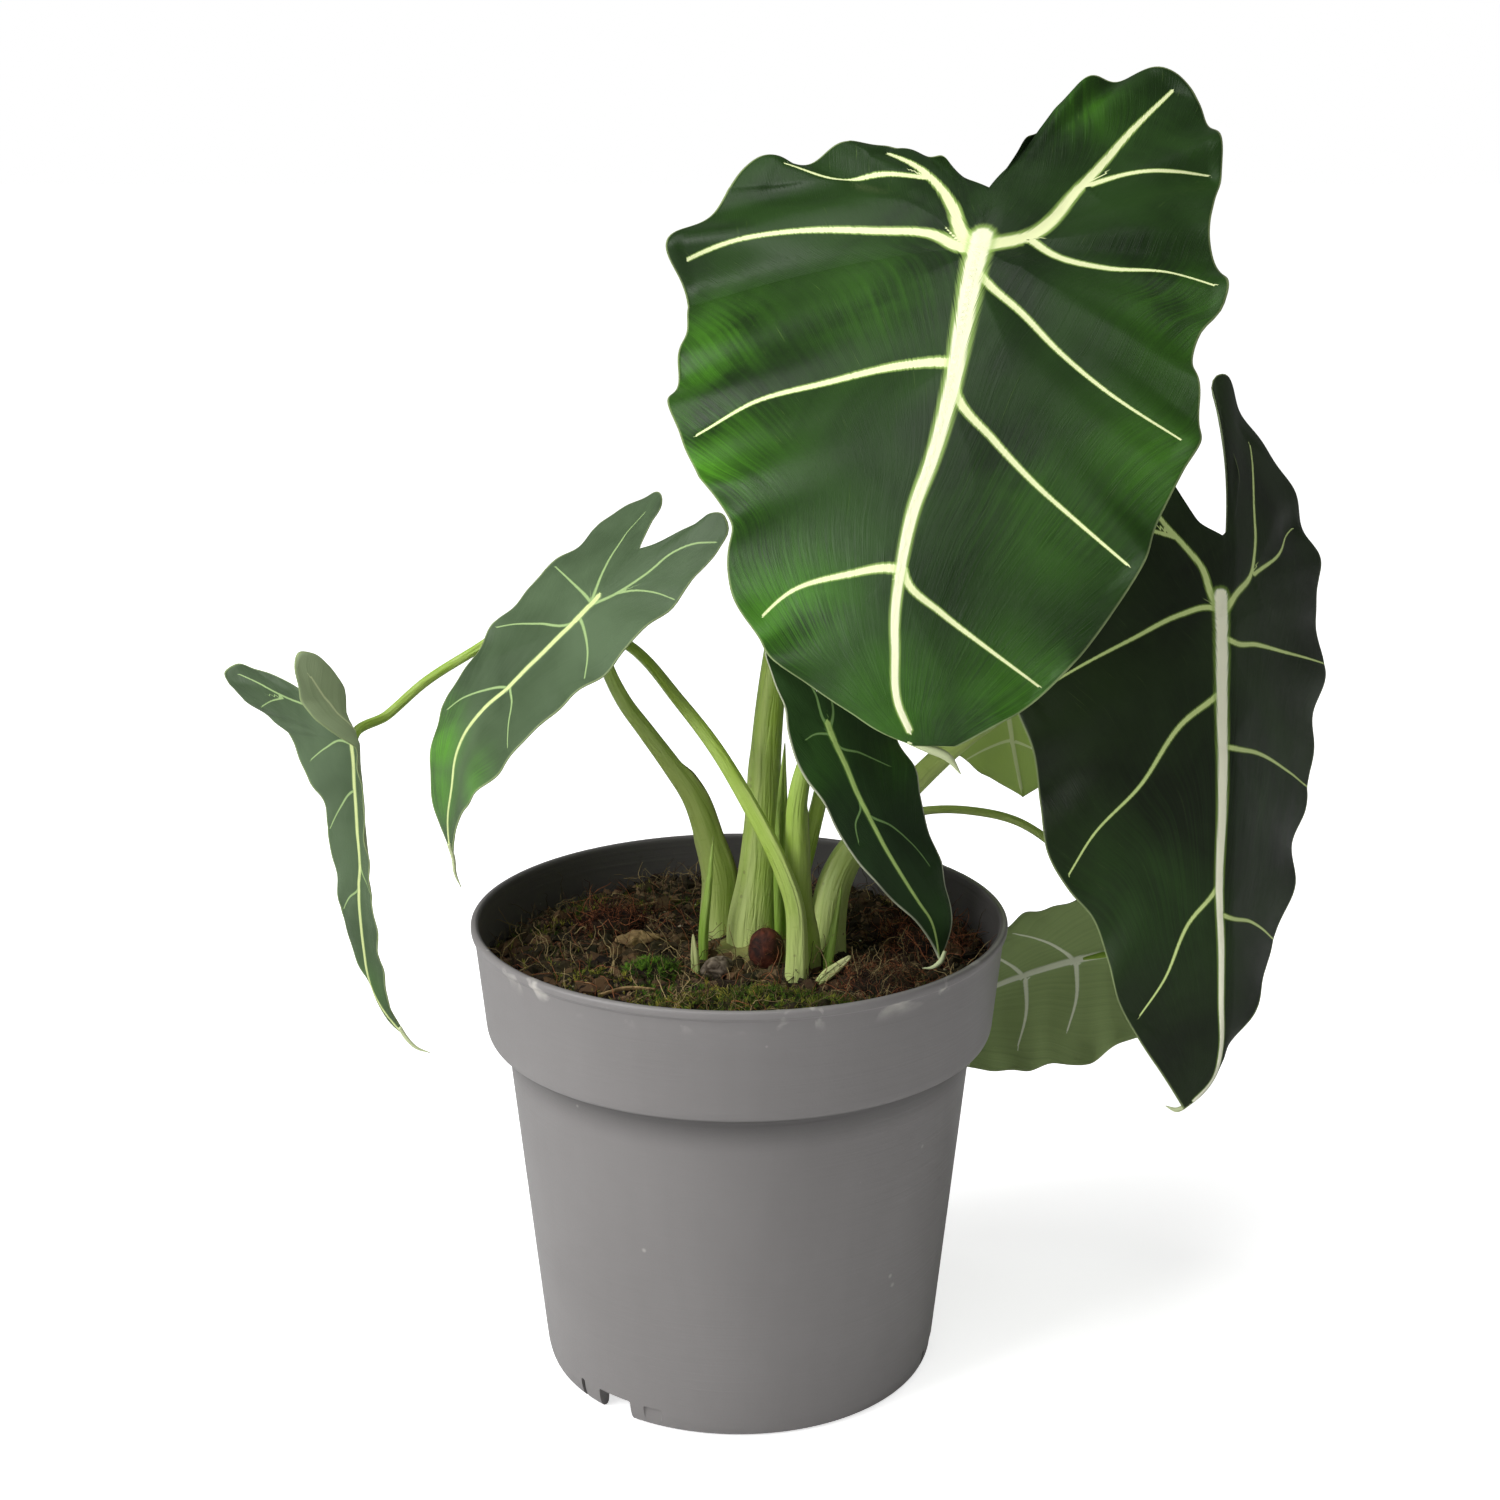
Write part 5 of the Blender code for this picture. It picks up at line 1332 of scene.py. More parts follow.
@dataclass(frozen=True)
class Bract:
    """A thin rolled sheath: its line as (x, y, height, radius), and how flat and split it is."""

    line: list[Point]
    finish: StalkFinish = BRACT
    facing: float = 250.0
    flat: float = 0.55
    groove: float = 0.35
    brown: float = 0.5

    def build(self, name: str, sides: int = 28) -> Object:
        """The sheath as a closed mesh that ends in a point."""
        x, y, height, radius = self.line[0]
        points = [(x, y, GROUND + height - 4.0, radius)]
        points += [(px, py, GROUND + h, r) for px, py, h, r in self.line]
        count = max(30, int(length_of([p[:3] for p in points]) / 0.5))
        line = smooth_line(points, count)
        share = np.linspace(0.0, 1.0, count)[:, None]
        angle = TURN * np.arange(sides)[None, :] / sides - math.radians(self.facing)
        gap = (angle + math.pi) % TURN - math.pi
        shape = np.sqrt(np.cos(angle) ** 2 * self.flat ** 2 + np.sin(angle) ** 2)
        shape = shape * (1 - self.groove * np.exp(-(gap / 0.5) ** 2))
        edge = np.exp(-((np.abs(gap) - 0.7) / 0.22) ** 2)
        taper = 1.25 * np.clip(1.0 - share, 0.0, 1.0) ** 0.28
        radius = np.maximum(line[:, 3:4] * shape * taper, 0.04)
        top = smoothstep(share, 0.93, 1.0)
        dry = np.maximum(self.brown * edge * smoothstep(share, 0.2, 0.6), 0.5 * top + 0 * edge)
        marks = np.stack([0.25 + 0.75 * share + 0 * angle, 0.6 * edge + 0 * share, dry], -1)
        draft = Draft()
        loft(draft, line[:, :3], radius, sides, stalk=marks)
        return draft.make(name)


BRACTS = {
    "young_sheath": Bract([(9.7, -2.8, 0, 1.3), (9.6, -3.2, 7.7, 1.6), (9.3, -5, 26.7, 1.7),
                           (9.6, -6, 41.7, 1.2), (10, -6.4, 50.7, 0.4)], brown=0.1, facing=300.0),
    "bract_left": Bract([(-8, -5.5, 0, 1.2), (-7.9, -6, 6.7, 1.4), (-6.6, -6.2, 18.7, 1.1),
                         (-5.6, -6, 29.2, 0.3)], facing=20.0),
    "bract_left_stub": Bract([(-9.6, -12.2, 0, 0.9), (-9.8, -12.4, 3.7, 0.9),
                              (-10.1, -12.6, 8.7, 0.5)],
                             DRY_BRACT, brown=0.2),
    "bract_right": Bract([(19.4, -14.8, 0, 1.2), (19.6, -14.4, 3.7, 1.4), (21, -11.6, 10.7, 1.2),
                          (22.6, -9.2, 19.2, 0.5)], facing=200.0, brown=0.25),
    "bract_right_stub": Bract([(17.2, -20.6, 0.2, 0.7), (19, -19.7, 1.7, 1.2),
                               (21.5, -18.6, 3.3, 1.2),
                               (24.4, -17.2, 5.3, 0.9)], DRY_BRACT, facing=90.0, brown=0.3),
}


class Plant:
    """Blades, stalks and sheaths."""

    def build(self) -> None:
        """Make every piece, each standing for its solid of the frame."""
        for name, leaf in LEAVES.items():
            blade = Blade(name, leaf)
            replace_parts(leaf.finish.dress(blade.build()), "blade_" + name)
            stalk = STALKS[name]
            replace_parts(stalk.finish.dress(stalk.build(name, blade)), "petiole_" + name)
        for name, bract in BRACTS.items():
            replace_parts(bract.finish.dress(bract.build(name + "_leaf")), name)



@dataclass
class Pot:
    """Stepped nursery pot with a rolled lip, drain holes and a notched foot ring."""

    rim: float = 60.0
    height: float = 105.4
    collar: float = 57.0
    collar_z: float = 80.0
    wall_top: float = 52.5
    wall_foot: float = 45.0
    foot: float = 43.4
    wall: float = 1.2
    floor: float = 1.4
    channel_out: float = 41.4
    channel_in: float = 30.5
    channel_z: float = 6.0
    holes: int = 6
    hole_ring: float = 36.3
    hole_radius: float = 3.0
    notches: tuple[float, ...] = (-38.0, 82.0, 202.0)
    steps: int = 224

    def profile(self) -> list[Point]:
        """Section from the middle of the inner floor, over the lip, and back below the floor."""
        inside = [(0.0, self.floor), (self.channel_in + 0.5 - self.wall, self.floor),
                  (self.channel_in + 2.0 - self.wall, self.channel_z + self.floor),
                  (self.channel_out + 0.2 + self.wall, self.channel_z + self.floor),
                  (self.wall_foot + 0.8 - self.wall, self.channel_z + self.floor + 1.6),
                  (self.wall_top - self.wall, self.collar_z - 0.8),
                  (self.collar - 1.0 - self.wall, self.collar_z + 0.7),
                  (self.collar - self.wall, self.collar_z + 2.0),
                  (self.rim - 0.7 - self.wall, self.height - 0.6)]
        lip = [(self.rim - 0.3 - self.wall, self.height), (self.rim - 0.4, self.height),
               (self.rim, self.height - 0.5), (self.rim - 0.1, self.height - 1.8),
               (self.rim - 0.8, self.height - 2.2)]
        outside = [(self.collar, self.collar_z + 1.3), (self.collar - 0.5, self.collar_z + 0.1),
                   (self.collar - 1.6, self.collar_z - 0.5), (self.wall_top, self.collar_z - 1.6),
                   (self.wall_foot + 0.4, self.channel_z + 2.0), (self.wall_foot - 0.1, 3.2),
                   (self.foot + 0.9, 0.9), (self.foot, 0.0)]
        below = [(self.channel_out + 0.5, 0.0), (self.channel_out, self.channel_z),
                 (self.channel_in + 1.5, self.channel_z), (self.channel_in, 0.0), (0.0, 0.0)]
        return inside + lip + outside + below

    def softened(self, reach: float = 1.1, steps: int = 4) -> Array:
        """The section with its corners rounded."""
        line = np.array(self.profile())
        out = [line[0]]
        for before, here, after in zip(line[:-2], line[1:-1], line[2:]):
            cut_a = min(reach, 0.45 * np.linalg.norm(here - before))
            cut_b = min(reach, 0.45 * np.linalg.norm(after - here))
            a, b = here + unit(before - here) * cut_a, here + unit(after - here) * cut_b
            for t in np.linspace(0.0, 1.0, steps + 1):
                out.append(a * (1 - t) ** 2 + here * 2 * t * (1 - t) + b * t * t)
        return np.array(out + [line[-1]])

    def turned(self, profile: Array, name: str) -> Object:
        """Turn a section that starts and ends on the axis."""
        draft = Draft()
        angle = TURN * np.arange(self.steps) / self.steps
        body = profile[1:-1]
        ring = np.stack([body[:, :1] * np.cos(angle), body[:, :1] * np.sin(angle),
                         body[:, 1:] + 0 * angle], -1)
        number = draft.add(ring)
        draft.wrap(number)
        for row, flip in ((0, True), (-1, False)):
            tip = draft.add(np.array([[0.0, 0.0, profile[row][1]]]))[0]
            draft.cap(number[row], tip, flip)
        return draft.make(name)

    def cutters(self) -> list[Object]:
        """Solids that are cut away: drain holes, notches, slots and panels in the foot."""
        made = []

        def spot(ring: float, turn: float, z: float) -> Vector:
            """Place on a ring about the pot's axis, in metres."""
            return Vector((ring * math.cos(turn) * MM, ring * math.sin(turn) * MM, z * MM))

        for i in range(self.holes):
            turn = TURN * (i + 0.5) / self.holes
            bpy.ops.mesh.primitive_cylinder_add(
                vertices=40, radius=self.hole_radius * MM, depth=6 * MM,
                location=spot(self.hole_ring, turn, self.channel_z + 1.0))
            made.append(bpy.context.object)
        for angle in self.notches:
            for offset, ring, deep, wide in (
                    (0.0, self.foot, 5.0, 9.0), (-13.0, self.foot, 5.0, 1.4),
                    (13.0, self.wall_foot + 0.9, 3.0, 4.4)):
                turn = math.radians(angle + offset - 90.0)
                bpy.ops.mesh.primitive_cube_add(
                    size=1.0, location=spot(ring, turn, 0.0), rotation=(0.0, 0.0, turn),
                    scale=(deep * MM, wide * MM, 10.0 * MM))
                bpy.ops.object.transform_apply(location=True, rotation=True, scale=True)
                round_off = bpy.context.object.modifiers.new("round", "BEVEL")
                round_off.width, round_off.segments = 0.5 * MM, 3
                made.append(bpy.context.object)
        return made

    def build(self) -> None:
        """Make the pot and give it its plastic."""
        shell = self.turned(self.softened(), "pot_turned")
        cutters = self.cutters()
        for cutter in cutters:
            cut = shell.modifiers.new(cutter.name, "BOOLEAN")
            cut.operation, cut.solver, cut.object = "DIFFERENCE", "EXACT", cutter
        mesh = finished_mesh(shell)
        for obj in [shell, *cutters]:
            bpy.data.objects.remove(obj)
        mesh.shade_smooth()
        mesh.set_sharp_from_angle(angle=math.radians(38.0))
        pot = linked("pot_shell", mesh)
        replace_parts(PLASTIC.dress(pot), "nursery_pot")

    def inner_radius(self, z: float) -> float:
        """Radius of the inner wall of the collar at a height."""
        share = (z - self.collar_z - 2.0) / (self.height - 2.6 - self.collar_z)
        return self.collar - self.wall + share * (self.rim - 0.7 - self.collar)


def finished_mesh(obj: Object) -> bpy.types.Mesh:
    """The object's mesh with its modifiers applied."""
    bpy.context.view_layer.update()
    graph = bpy.context.evaluated_depsgraph_get()
    return bpy.data.meshes.new_from_object(obj.evaluated_get(graph), depsgraph=graph)



class Kit:
    """Small meshes that a scatter picks from."""

    def __init__(self, name: str, shapes: list[Object]) -> None:
        """Put the shapes in a collection of their own."""
        self.collection = bpy.data.collections.new(name)
        for shape in shapes:
            for owner in list(shape.users_collection):
                owner.objects.unlink(shape)
            self.collection.objects.link(shape)

    def clear(self) -> None:
        """Remove the shapes once everything is scattered."""
        for shape in list(self.collection.objects):
            bpy.data.objects.remove(shape)
        bpy.data.collections.remove(self.collection)

    @staticmethod
    def crumbs(name: str, rng: np.random.Generator, stretch: Point, kinds: int = 5) -> "Kit":
        """Angular crumbs about one millimetre across."""
        shapes = []
        for i in range(kinds):
            work = bmesh.new()
            bmesh.ops.create_icosphere(work, subdivisions=1, radius=0.5 * MM)
            for vertex in work.verts:
                vertex.co = Vector(np.array(vertex.co) * stretch * rng.uniform(0.65, 1.3, 3))
            mesh = bpy.data.meshes.new(f"{name}_{i}")
            work.to_mesh(mesh)
            work.free()
            shapes.append(bpy.data.objects.new(f"{name}_{i}", mesh))
        return Kit(name, shapes)

    @staticmethod
    def strands(name: str, rng: np.random.Generator, length: float, radius: float, curl: float,
                kinds: int = 6, rings: int = 8) -> "Kit":
        """Thin curly strands that start at the ground and wander."""
        shapes = []
        for i in range(kinds):
            way, spot, line = unit(np.array([*rng.normal(0, 0.6, 2), 0.8])), np.zeros(3), []
            for _ in range(rings):
                line.append(spot)
                way = unit(way + rng.normal(0, curl, 3) - (0, 0, 0.16))
                spot = spot + way * length / rings
            draft = Draft()
            loft(draft, np.array(line), radius * np.linspace(1.0, 0.35, rings), 3)
            shapes.append(draft.make(f"{name}_{i}"))
        return Kit(name, shapes)

    @staticmethod
    def tufts(name: str, rng: np.random.Generator, height: float, kinds: int = 5,
              blades: int = 5) -> "Kit":
        """Little moss plants of a few pointed shoots."""
        shapes = []
        for i in range(kinds):
            draft = Draft()
            for k in range(blades):
                lean = rng.uniform(0.15, 0.75)
                turn = TURN * (k + rng.uniform(0, 0.8)) / blades
                t = np.linspace(0.0, 1.0, 4)[:, None]
                tall = height * rng.uniform(0.6, 1.1)
                side = np.array([[math.cos(turn), math.sin(turn), 0.0]])
                line = side * lean * tall * t ** 1.4 + np.array([[0.0, 0.0, 1.0]]) * tall * t
                radius = np.array([0.08, 0.12, 0.09, 0.02]) * height / 2.2
                loft(draft, line, radius, 3)
            shapes.append(draft.make(f"{name}_{i}"))
        return Kit(name, shapes)


@dataclass
class Scatter:
    """Small shapes spread over a surface by Geometry Nodes."""

    name: str
    kit: Kit
    finish: Finish
    density: float
    least: float
    most: float
    tilt: float
    seed: int
    cover: str = ""

    def tree(self) -> bpy.types.NodeTree:
        """The node tree with its named inputs."""
        tree = bpy.data.node_groups.new("scatter_" + self.name, "GeometryNodeTree")
        face = tree.interface
        face.new_socket("Surface", in_out="INPUT", socket_type="NodeSocketGeometry")
        for name in ("Density", "Least Size", "Most Size", "Tilt"):
            face.new_socket(name, in_out="INPUT", socket_type="NodeSocketFloat")
        face.new_socket("Seed", in_out="INPUT", socket_type="NodeSocketInt")
        face.new_socket("Result", in_out="OUTPUT", socket_type="NodeSocketGeometry")
        graph = Graph(tree)
        given = tree.nodes.new("NodeGroupInput").outputs
        amount = given["Density"]
        if self.cover:
            named = tree.nodes.new("GeometryNodeInputNamedAttribute")
            named.data_type = "FLOAT"
            named.inputs["Name"].default_value = self.cover
            amount = graph.times(amount, named.outputs["Attribute"])
        spread = graph.node("GeometryNodeDistributePointsOnFaces", Mesh=given["Surface"],
                            Density=amount, Seed=given["Seed"])
        parts = graph.node("GeometryNodeCollectionInfo", Collection=self.kit.collection)
        parts.inputs["Separate Children"].default_value = True
        parts.inputs["Reset Children"].default_value = True
        back = graph.times(given["Tilt"], -1.0)
        low = graph.node("ShaderNodeCombineXYZ", X=back, Y=back)
        high = graph.node("ShaderNodeCombineXYZ", X=given["Tilt"], Y=given["Tilt"], Z=TURN)
        turn = graph.chance(given["Seed"], low.outputs[0], high.outputs[0], vector=True)
        euler = graph.node("FunctionNodeEulerToRotation", Euler=turn)
        facing = graph.node("FunctionNodeRotateRotation", Rotation=spread.outputs["Rotation"],
                            Rotate_By=euler.outputs[0])
        facing.rotation_space = "LOCAL"
        size = graph.chance(graph.plus(given["Seed"], 7.0), given["Least Size"], given["Most Size"])
        placed = graph.node("GeometryNodeInstanceOnPoints", Points=spread.outputs["Points"],
                            Instance=parts.outputs[0], Rotation=facing.outputs[0], Scale=size)
        placed.inputs["Pick Instance"].default_value = True
        tone = graph.chance(graph.plus(given["Seed"], 19.0), 0.0, 1.0)
        toned = tree.nodes.new("GeometryNodeStoreNamedAttribute")
        toned.data_type, toned.domain = "FLOAT", "INSTANCE"
        toned.inputs["Name"].default_value = TONE
        graph.put(toned.inputs["Geometry"], placed.outputs[0])
        graph.put(toned.inputs["Value"], tone)
        real = graph.node("GeometryNodeRealizeInstances", Geometry=toned.outputs[0])
        paint = graph.node("GeometryNodeSetMaterial", Geometry=real.outputs[0])
        paint.inputs["Material"].default_value = self.finish.material()
        graph.put(tree.nodes.new("NodeGroupOutput").inputs["Result"], paint.outputs[0])
        return tree

    def build(self, surface: Object) -> Object:
        """Spread the shapes over a surface and return them as one plain mesh."""
        tree = self.tree()
        modifier = surface.modifiers.new(self.name, "NODES")
        modifier.node_group = tree
        wanted = {"Density": self.density, "Least Size": self.least, "Most Size": self.most,
                  "Tilt": self.tilt, "Seed": self.seed}
        for item in tree.interface.items_tree:
            if item.in_out == "INPUT" and item.name in wanted:
                modifier[item.identifier] = wanted[item.name]
        mesh = finished_mesh(surface)
        surface.modifiers.remove(modifier)
        bpy.data.node_groups.remove(tree)
        return self.finish.dress(linked(self.name, mesh))


@dataclass
class Lump:
    """A cushion of moss or fibre on the soil."""

    node: str
    centre: Point
    height: float
    half: Point
    turn: float
    core: LitterFinish
    covers: list[Scatter]
    rough: float = 0.5

    def build(self) -> None:
        """Make the lump and what grows on it."""
        draft = Draft()
        centre = (*self.centre, GROUND - 0.6 + self.height)
        dome(draft, centre, self.half, self.turn, self.rough, seed=len(self.node), floor=-0.75)
        obj = self.core.dress(draft.make(self.node + "_body"))
        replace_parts(obj, self.node)
        for cover in self.covers:
            cover.build(obj)


class Soil:
    """Uneven peat in the pot, with everything that lies on it."""

    plant = (7.5, -1.5)
    wall = ((54.2, 81.2), (50.7, 79.4), (44.0, 9.5), (42.0, 7.9), (30.6, 7.9), (29.0, 1.9))
    rings, around = 96, 288
    waves = ((1.2, 15.0, 1), (0.9, 5.0, 2), (0.5, 2.0, 4))
    patches = {
        "moss": ((1.0, -2, -38, 30, 10), (0.8, -38, -24, 14, 14), (0.6, -46, 4, 9, 18),
                 (0.5, -30, 32, 18, 10), (0.5, 30, -38, 14, 8), (0.35, 44, 26, 10, 12),
                 (0.4, 10, -24, 16, 7)),
        "fibre": ((1.0, 42, -2, 13, 20), (0.7, 26, -26, 14, 10), (0.7, -22, 14, 16, 12),
                  (0.6, -36, -6, 12, 12), (0.4, 0, 34, 26, 9)),
        "green": ((1.0, -17, -27, 11, 5), (0.8, 12, -27, 14, 4), (0.4, -4, -38, 20, 5)),
    }

    def __init__(self, pot: Pot) -> None:
        """Take the pot that the soil fills."""
        self.pot = pot
        self.rng = np.random.default_rng(20)
        self.edge = pot.inner_radius(GROUND) - 0.35

    def level(self, x: Array, y: Array) -> Array:
        """Height of the soil's surface."""
        flat = np.stack([x, y, 0 * x], -1)
        radius = np.hypot(x, y)
        bumps = sum(rise * noise(flat, size, seed) for rise, size, seed in self.waves)
        height = GROUND - 0.5 + bumps
        near = np.hypot(x - self.plant[0], y - self.plant[1])
        height += 1.5 * np.exp(-(near / 17.0) ** 4)
        sink = 1.6 + 1.3 * noise(flat, 30.0, 7, 1) + 0.7 * np.abs(x) / 50.0
        return height - sink * smoothstep(radius, self.edge - 9.0, self.edge)

    def covers(self, x: Array, y: Array) -> dict[str, Array]:
        """How thickly each kind of litter lies at a place, from 0 to 1."""
        flat = np.stack([x, y, 0 * x], -1)

        moss, fibre, green = (
            sum(share * np.exp(-((x - cx) / sx) ** 2 - ((y - cy) / sy) ** 2)
                for share, cx, cy, sx, sy in ovals)
            for ovals in self.patches.values())
        fibre = fibre + 0.25
        rag = 0.55 + 0.75 * noise(flat, 9.0, 11)
        ring = smoothstep(np.hypot(x - self.plant[0], y - self.plant[1]), 7.0, 11.0)
        sheets = {"moss": moss * rag, "fibre": fibre * (1.2 - 0.5 * rag), "green": green * rag,
                  "crumb": 0.6 + 0.5 * noise(flat, 12.0, 15),
                  "grain": 0.4 + 0.6 * noise(flat, 16.0, 17)}
        return {name: np.clip(value, 0.0, 1.0) * ring for name, value in sheets.items()}

    def body(self) -> None:
        """The soil itself, closed all round, and its bare top as a surface to scatter on."""
        draft, bare = Draft(), Draft()
        reach = self.edge * np.linspace(0.0, 1.0, self.rings + 1)[1:] ** 0.85
        angle = TURN * np.arange(self.around) / self.around
        x, y = reach[:, None] * np.cos(angle), reach[:, None] * np.sin(angle)
        top = np.stack([x, y, self.level(x, y)], -1)
        wall = [(self.edge - 1.45, 82.6), *self.wall]
        edge = top[-1] * (1.0, 1.0, 0.0) / self.edge
        rim = np.stack([edge * (r, r, 0.0) + (0.0, 0.0, z) for r, z in wall])
        middle = float(self.level(np.zeros(1), np.zeros(1))[0])
        number = draft.add(np.concatenate([top, rim]))
        draft.wrap(number)
        for row, z, flip in ((0, middle, False), (-1, self.wall[-1][1], True)):
            draft.cap(number[row], draft.add(np.array([[0.0, 0.0, z]]))[0], flip)
        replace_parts(PEAT.dress(draft.make("soil_body")), "potting_soil")
        bare.wrap(bare.add(top, **self.covers(x, y)))
        self.top = bare.make("soil_top")

    def litter(self) -> None:
        """Crumbs, strands, moss and grains over the whole top."""
        crumbs = Kit.crumbs("crumb", self.rng, (1.3, 0.9, 0.7))
        chips = Kit.crumbs("chip", self.rng, (2.2, 0.8, 0.35))
        strands = Kit.strands("strand", self.rng, 11.0, 0.13, 0.45)
        tufts = Kit.tufts("tuft", self.rng, 2.2)
        kits = [crumbs, chips, strands, tufts]
        coats = [
            Scatter("litter_clods", crumbs, PEAT, 52000.0, 2.4, 6.0, 0.9, 1, "crumb"),
            Scatter("litter_crumbs", crumbs, CRUMBS, 620000.0, 0.6, 2.6, 0.9, 3, "crumb"),
            Scatter("litter_chips", chips, CRUMBS, 120000.0, 0.8, 2.8, 0.7, 5, "crumb"),
            Scatter("litter_fibre", strands, FIBRE, 330000.0, 0.4, 1.1, 1.3, 7, "fibre"),
            Scatter("litter_roots", strands, BROWN_FIBRE, 340000.0, 0.4, 1.2, 1.4, 9, "crumb"),
            Scatter("litter_moss", tufts, MOSS, 1000000.0, 0.45, 1.2, 0.8, 11, "moss"),
            Scatter("litter_green_moss", tufts, GREEN_MOSS, 1500000.0, 0.4, 0.95, 0.6, 13, "green"),
            Scatter("litter_grains", crumbs, GRAINS, 24000.0, 0.5, 1.3, 0.9, 15, "grain")]
        lumps = [
            Lump("moss_front", (4.0, -33.0), -0.1, (22.0, 8.0, 2.2), 4.0, PEAT, [
                Scatter("moss_front_tufts", tufts, MOSS, 800000.0, 0.45, 1.15, 0.8, 21),
                Scatter("moss_front_green", tufts, GREEN_MOSS, 420000.0, 0.4, 0.9, 0.6, 35),
                Scatter("moss_front_roots", strands, BROWN_FIBRE, 420000.0, 0.35, 0.8, 1.4, 33)],
                1.1),
            Lump("moss_left", (-19.0, -14.0), 0.2, (6.5, 4.5, 2.4), 15.0, PEAT, [
                Scatter("moss_left_tufts", tufts, GREEN_MOSS, 2000000.0, 0.45, 0.95, 0.6, 23)],
                0.9),
            Lump("fibre_right", (43.0, 6.0), 0.6, (8.5, 10.0, 3.6), 10.0, PEAT, [
                Scatter("fibre_right_strands", strands, FIBRE, 1100000.0, 0.4, 1.1, 1.4, 25)], 1.3),
            Lump("fibre_front", (31.0, -22.0), 0.6, (8.0, 6.0, 3.2), -20.0, PEAT, [
                Scatter("fibre_front_strands", strands, BROWN_FIBRE, 1300000.0, 0.35, 0.8, 1.4, 27),
                Scatter("fibre_front_red", strands, FIBRE, 1300000.0, 0.35, 0.8, 1.4, 37)], 1.3),
            Lump("fibre_back", (-29.0, 17.0), 0.5, (7.0, 5.5, 3.0), 30.0, PEAT, [
                Scatter("fibre_back_strands", strands, FIBRE, 1200000.0, 0.4, 1.1, 1.4, 29)], 1.2),
            Lump("bark_chip", (-23.5, 6.0), 1.4, (4.8, 2.8, 1.7), 25.0, BARK, [], 1.0),
            Lump("cormel", (6.0, -9.9), 4.7, (3.9, 3.7, 4.9), 0.0, CORM, [
                Scatter("cormel_hairs", strands, CORM, 1500000.0, 0.1, 0.28, 1.2, 31)], 0.45)]
        for coat in coats:
            self.keep_inside(coat.build(self.top))
        for lump in lumps:
            lump.build()
            for cover in lump.covers:
                self.keep_inside(bpy.data.objects[cover.name])
        bpy.data.objects.remove(self.top)
        for kit in kits:
            kit.clear()

    def keep_inside(self, obj: Object, gap: float = 0.25) -> None:
        """Bend back whatever would reach into the pot's wall."""
        spots = np.empty(len(obj.data.vertices) * 3, np.float32)
        obj.data.vertices.foreach_get("co", spots)
        spots = spots.reshape(-1, 3) / MM
        limit = self.pot.inner_radius(spots[:, 2]) - gap
        share = np.minimum(1.0, limit / np.maximum(np.hypot(spots[:, 0], spots[:, 1]), 1.0))
        spots[:, :2] *= share[:, None]
        obj.data.vertices.foreach_set("co", (spots * MM).reshape(-1))
        obj.data.update()

    def sticks(self) -> None:
        """The woody stub, the straws and the knobbly top of the corm."""
        stub = Draft()
        line = smooth_line([(-1.6, -14.4, 3.3, 1.5), (-3.4, -15.4, 2.9, 2.5),
                            (-6.2, -16.9, 2.6, 2.4), (-8.2, -18, 2.2, 1.5)], 60)
        angle = TURN * np.arange(44) / 44
        spots = np.stack([np.cos(angle) + 0 * line[:, :1], np.sin(angle) + 0 * line[:, :1],
                          line[:, :1] * 0.35 + 0 * angle], -1)
        bumps = 1 + 0.3 * noise(spots * 2.2, 1.6, 5, 3)
        ends = np.sin(np.linspace(0.12, math.pi - 0.12, 60)) ** 0.5
        loft(stub, line[:, :3] + (0, 0, GROUND - 0.4), line[:, 3:4] * bumps * ends[:, None], 44)
        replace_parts(WOODY.dress(stub.make("woody_stub_body")), "woody_stub")
        straws = {"straw_left": [(-30, -29.5, 0.9, 0.4), (-24, -26.5, 1.4, 0.5),
                                 (-18, -26, 0.9, 0.35)],
                  "straw_back": [(-27, 26, 0.7, 0.35), (-19, 29, 1.6, 0.4), (-12, 33, 0.7, 0.3)]}
        for name, points in straws.items():
            draft = Draft()
            line = smooth_line(points, 40)
            flat = np.sqrt(0.3 + 0.7 * np.sin(TURN * np.arange(12) / 12) ** 2)
            loft(draft, line[:, :3] + (0, 0, GROUND), line[:, 3:4] * flat[None], 12)
            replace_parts(BARK.dress(draft.make(name + "_blade")), name)
        top = Draft()
        dome(top, (*self.plant, GROUND - 3.0), (16.0, 12.5, 7.0), 0.0, 1.2, 4, floor=-0.6)
        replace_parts(CORM_TOP.dress(top.make("corm_crown")), "crown")

    def build(self) -> None:
        """Make everything that fills the pot."""
        self.body()
        self.litter()
        self.sticks()



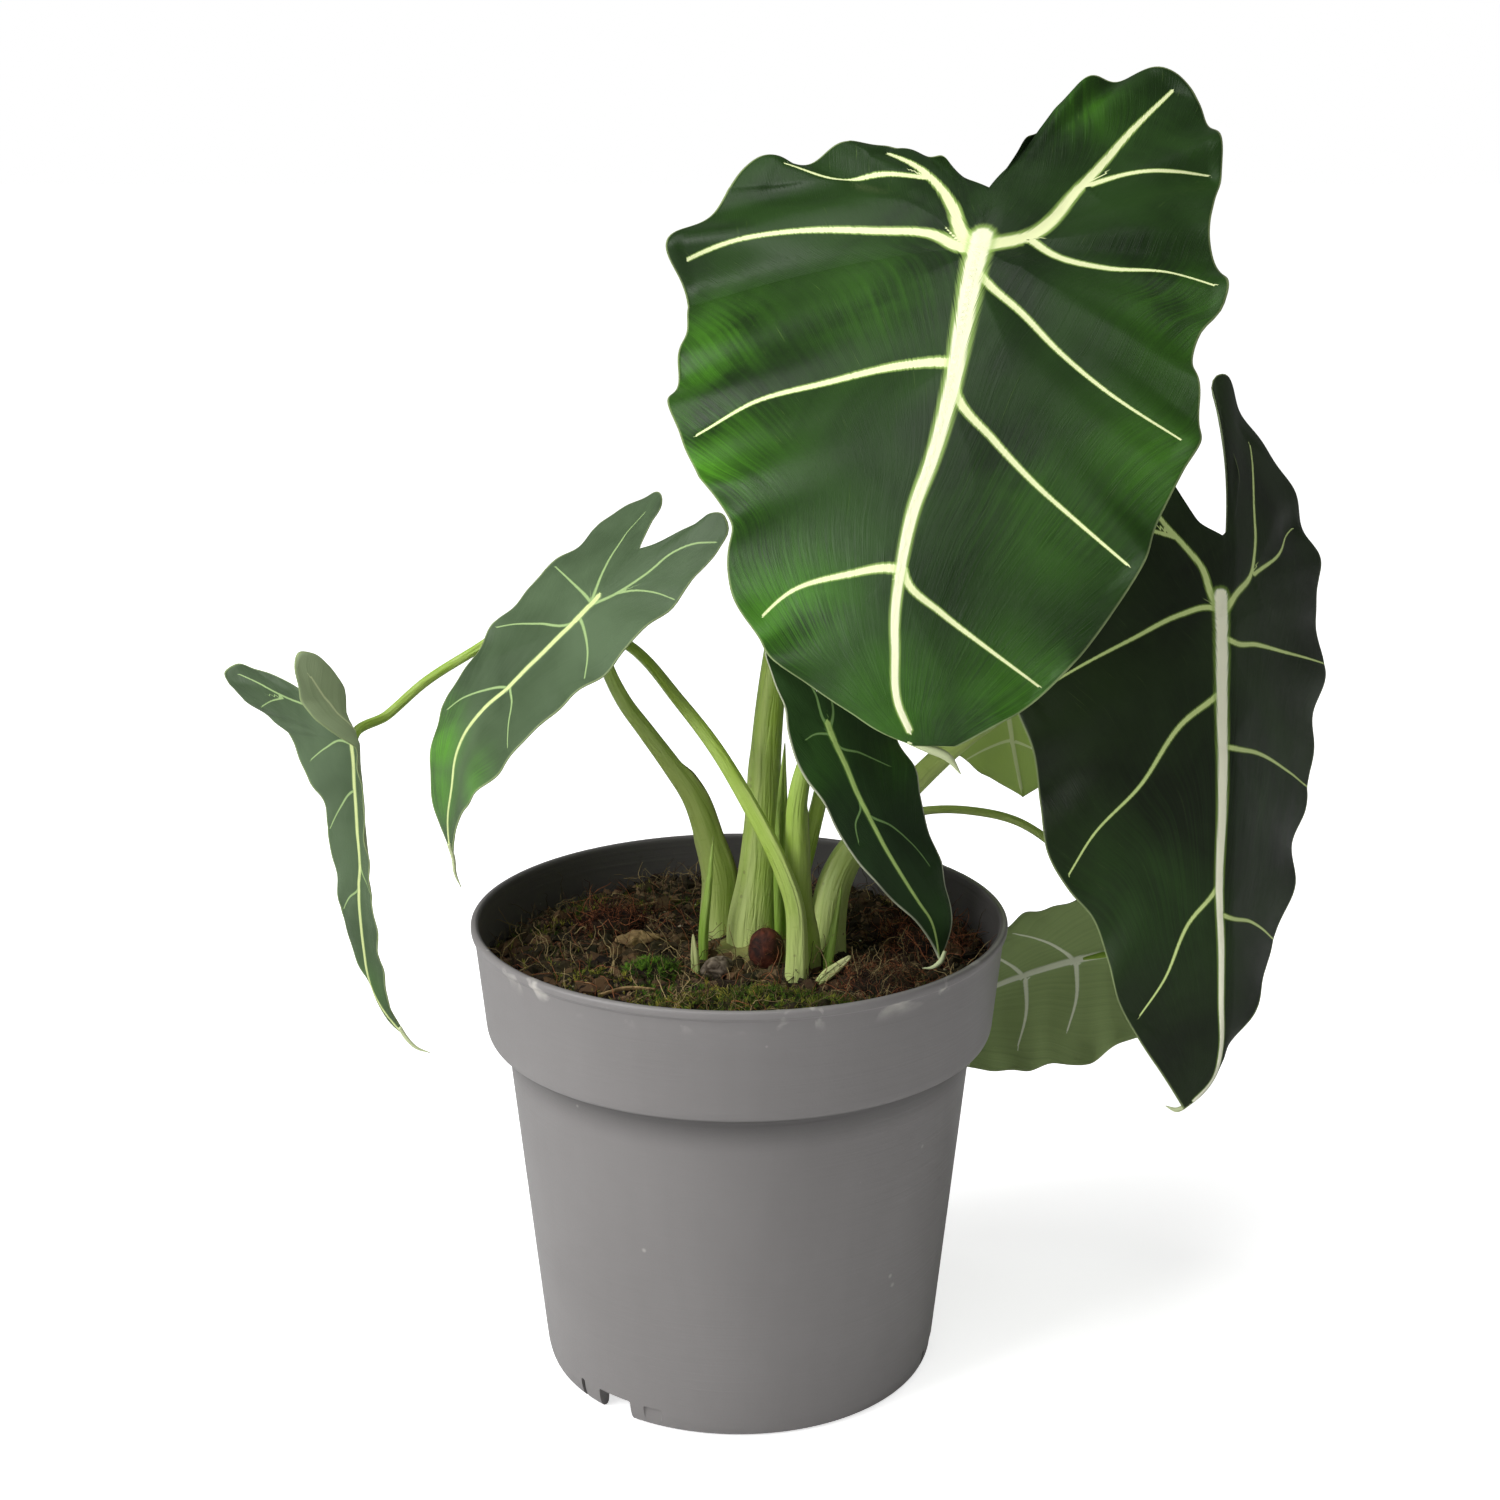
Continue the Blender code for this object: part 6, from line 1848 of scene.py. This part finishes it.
@dataclass
class Studio:
    """Camera, soft lights and a plain pale floor."""

    eye: Point = (0.0024, -0.505, 0.2836)
    tilt: float = 74.48
    lens: float = 57.144
    sky: float = 0.14
    near_glow: float = 0.72
    far_glow: float = 0.95
    lamps: tuple = (("key", (-1.05, -0.6, 0.8), (0.0, 0.0, 0.14), 0.8, 16.0),
                    ("fill", (0.9, -0.6, 0.5), (0.0, 0.0, 0.15), 0.7, 0.9),
                    ("top", (-0.15, -0.25, 1.1), (0.0, 0.0, 0.1), 0.8, 6.0))

    def light(self, name: str, place: Point, aim: Point, size: float, power: float) -> None:
        """Add a square soft light that faces a point."""
        lamp = bpy.data.lights.new(name, "AREA")
        lamp.size, lamp.energy = size, power
        obj = linked(name, lamp)
        obj.location = place
        obj.rotation_euler = (Vector(aim) - Vector(place)).to_track_quat("-Z", "Y").to_euler()

    def world(self) -> None:
        """White surroundings that light the plant less than they look."""
        world = bpy.data.worlds.new("white")
        world.use_nodes = True
        bpy.context.scene.world = world
        graph = Graph(world.node_tree)
        world.node_tree.nodes.clear()
        seen = world.node_tree.nodes.new("ShaderNodeLightPath").outputs["Is Camera Ray"]
        span = graph.math("MULTIPLY_ADD", seen, 1.0 - self.sky, self.sky)
        sky = graph.node("ShaderNodeBackground", Color="ffffff", Strength=span)
        out = world.node_tree.nodes.new("ShaderNodeOutputWorld")
        world.node_tree.links.new(sky.outputs[0], out.inputs["Surface"])

    def floor(self) -> None:
        """The floor, which isn't part of the object."""
        bpy.ops.mesh.primitive_plane_add(size=14.0, location=(0.0, 0.0, -0.0002))
        floor = bpy.context.object
        floor.name = "floor"
        material = bpy.data.materials.new("floor")
        material.use_nodes = True
        shader = material.node_tree.nodes["Principled BSDF"]
        shader.inputs["Base Color"].default_value = (0.9, 0.9, 0.9, 1.0)
        shader.inputs["Roughness"].default_value = 0.9
        shader.inputs["Specular IOR Level"].default_value = 0.0
        shader.inputs["Emission Color"].default_value = (1.0, 1.0, 1.0, 1.0)
        graph = Graph(material.node_tree)
        seen = material.node_tree.nodes.new("ShaderNodeLightPath").outputs["Is Camera Ray"]
        away = graph.node("ShaderNodeVectorMath", Vector=graph.place())
        away.operation = "LENGTH"
        far = graph.band(away.outputs["Value"], 0.1, 0.5)
        glow = graph.math("MULTIPLY_ADD", far, self.far_glow - self.near_glow, self.near_glow)
        graph.put(shader.inputs["Emission Strength"], graph.times(glow, seen))
        floor.data.materials.append(material)

    def build(self) -> None:
        """Set up the whole studio."""
        scene = bpy.context.scene
        scene.view_settings.view_transform = "Standard"
        camera = bpy.data.cameras.new("camera")
        camera.lens, camera.sensor_width = self.lens, 36.0
        camera.clip_start = 0.01
        obj = linked("camera", camera)
        obj.location = self.eye
        obj.rotation_euler = (math.radians(self.tilt), 0.0, 0.0)
        scene.camera = obj
        for lamp in self.lamps:
            self.light(*lamp)
        self.world()
        self.floor()


def main() -> None:
    """Build everything in order."""
    logging.basicConfig(level=logging.INFO, format="%(message)s")
    Studio().build()
    pot = Pot()
    pot.build()
    Soil(pot).build()
    Plant().build()
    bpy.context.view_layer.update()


if __name__ == "__main__":
    main()
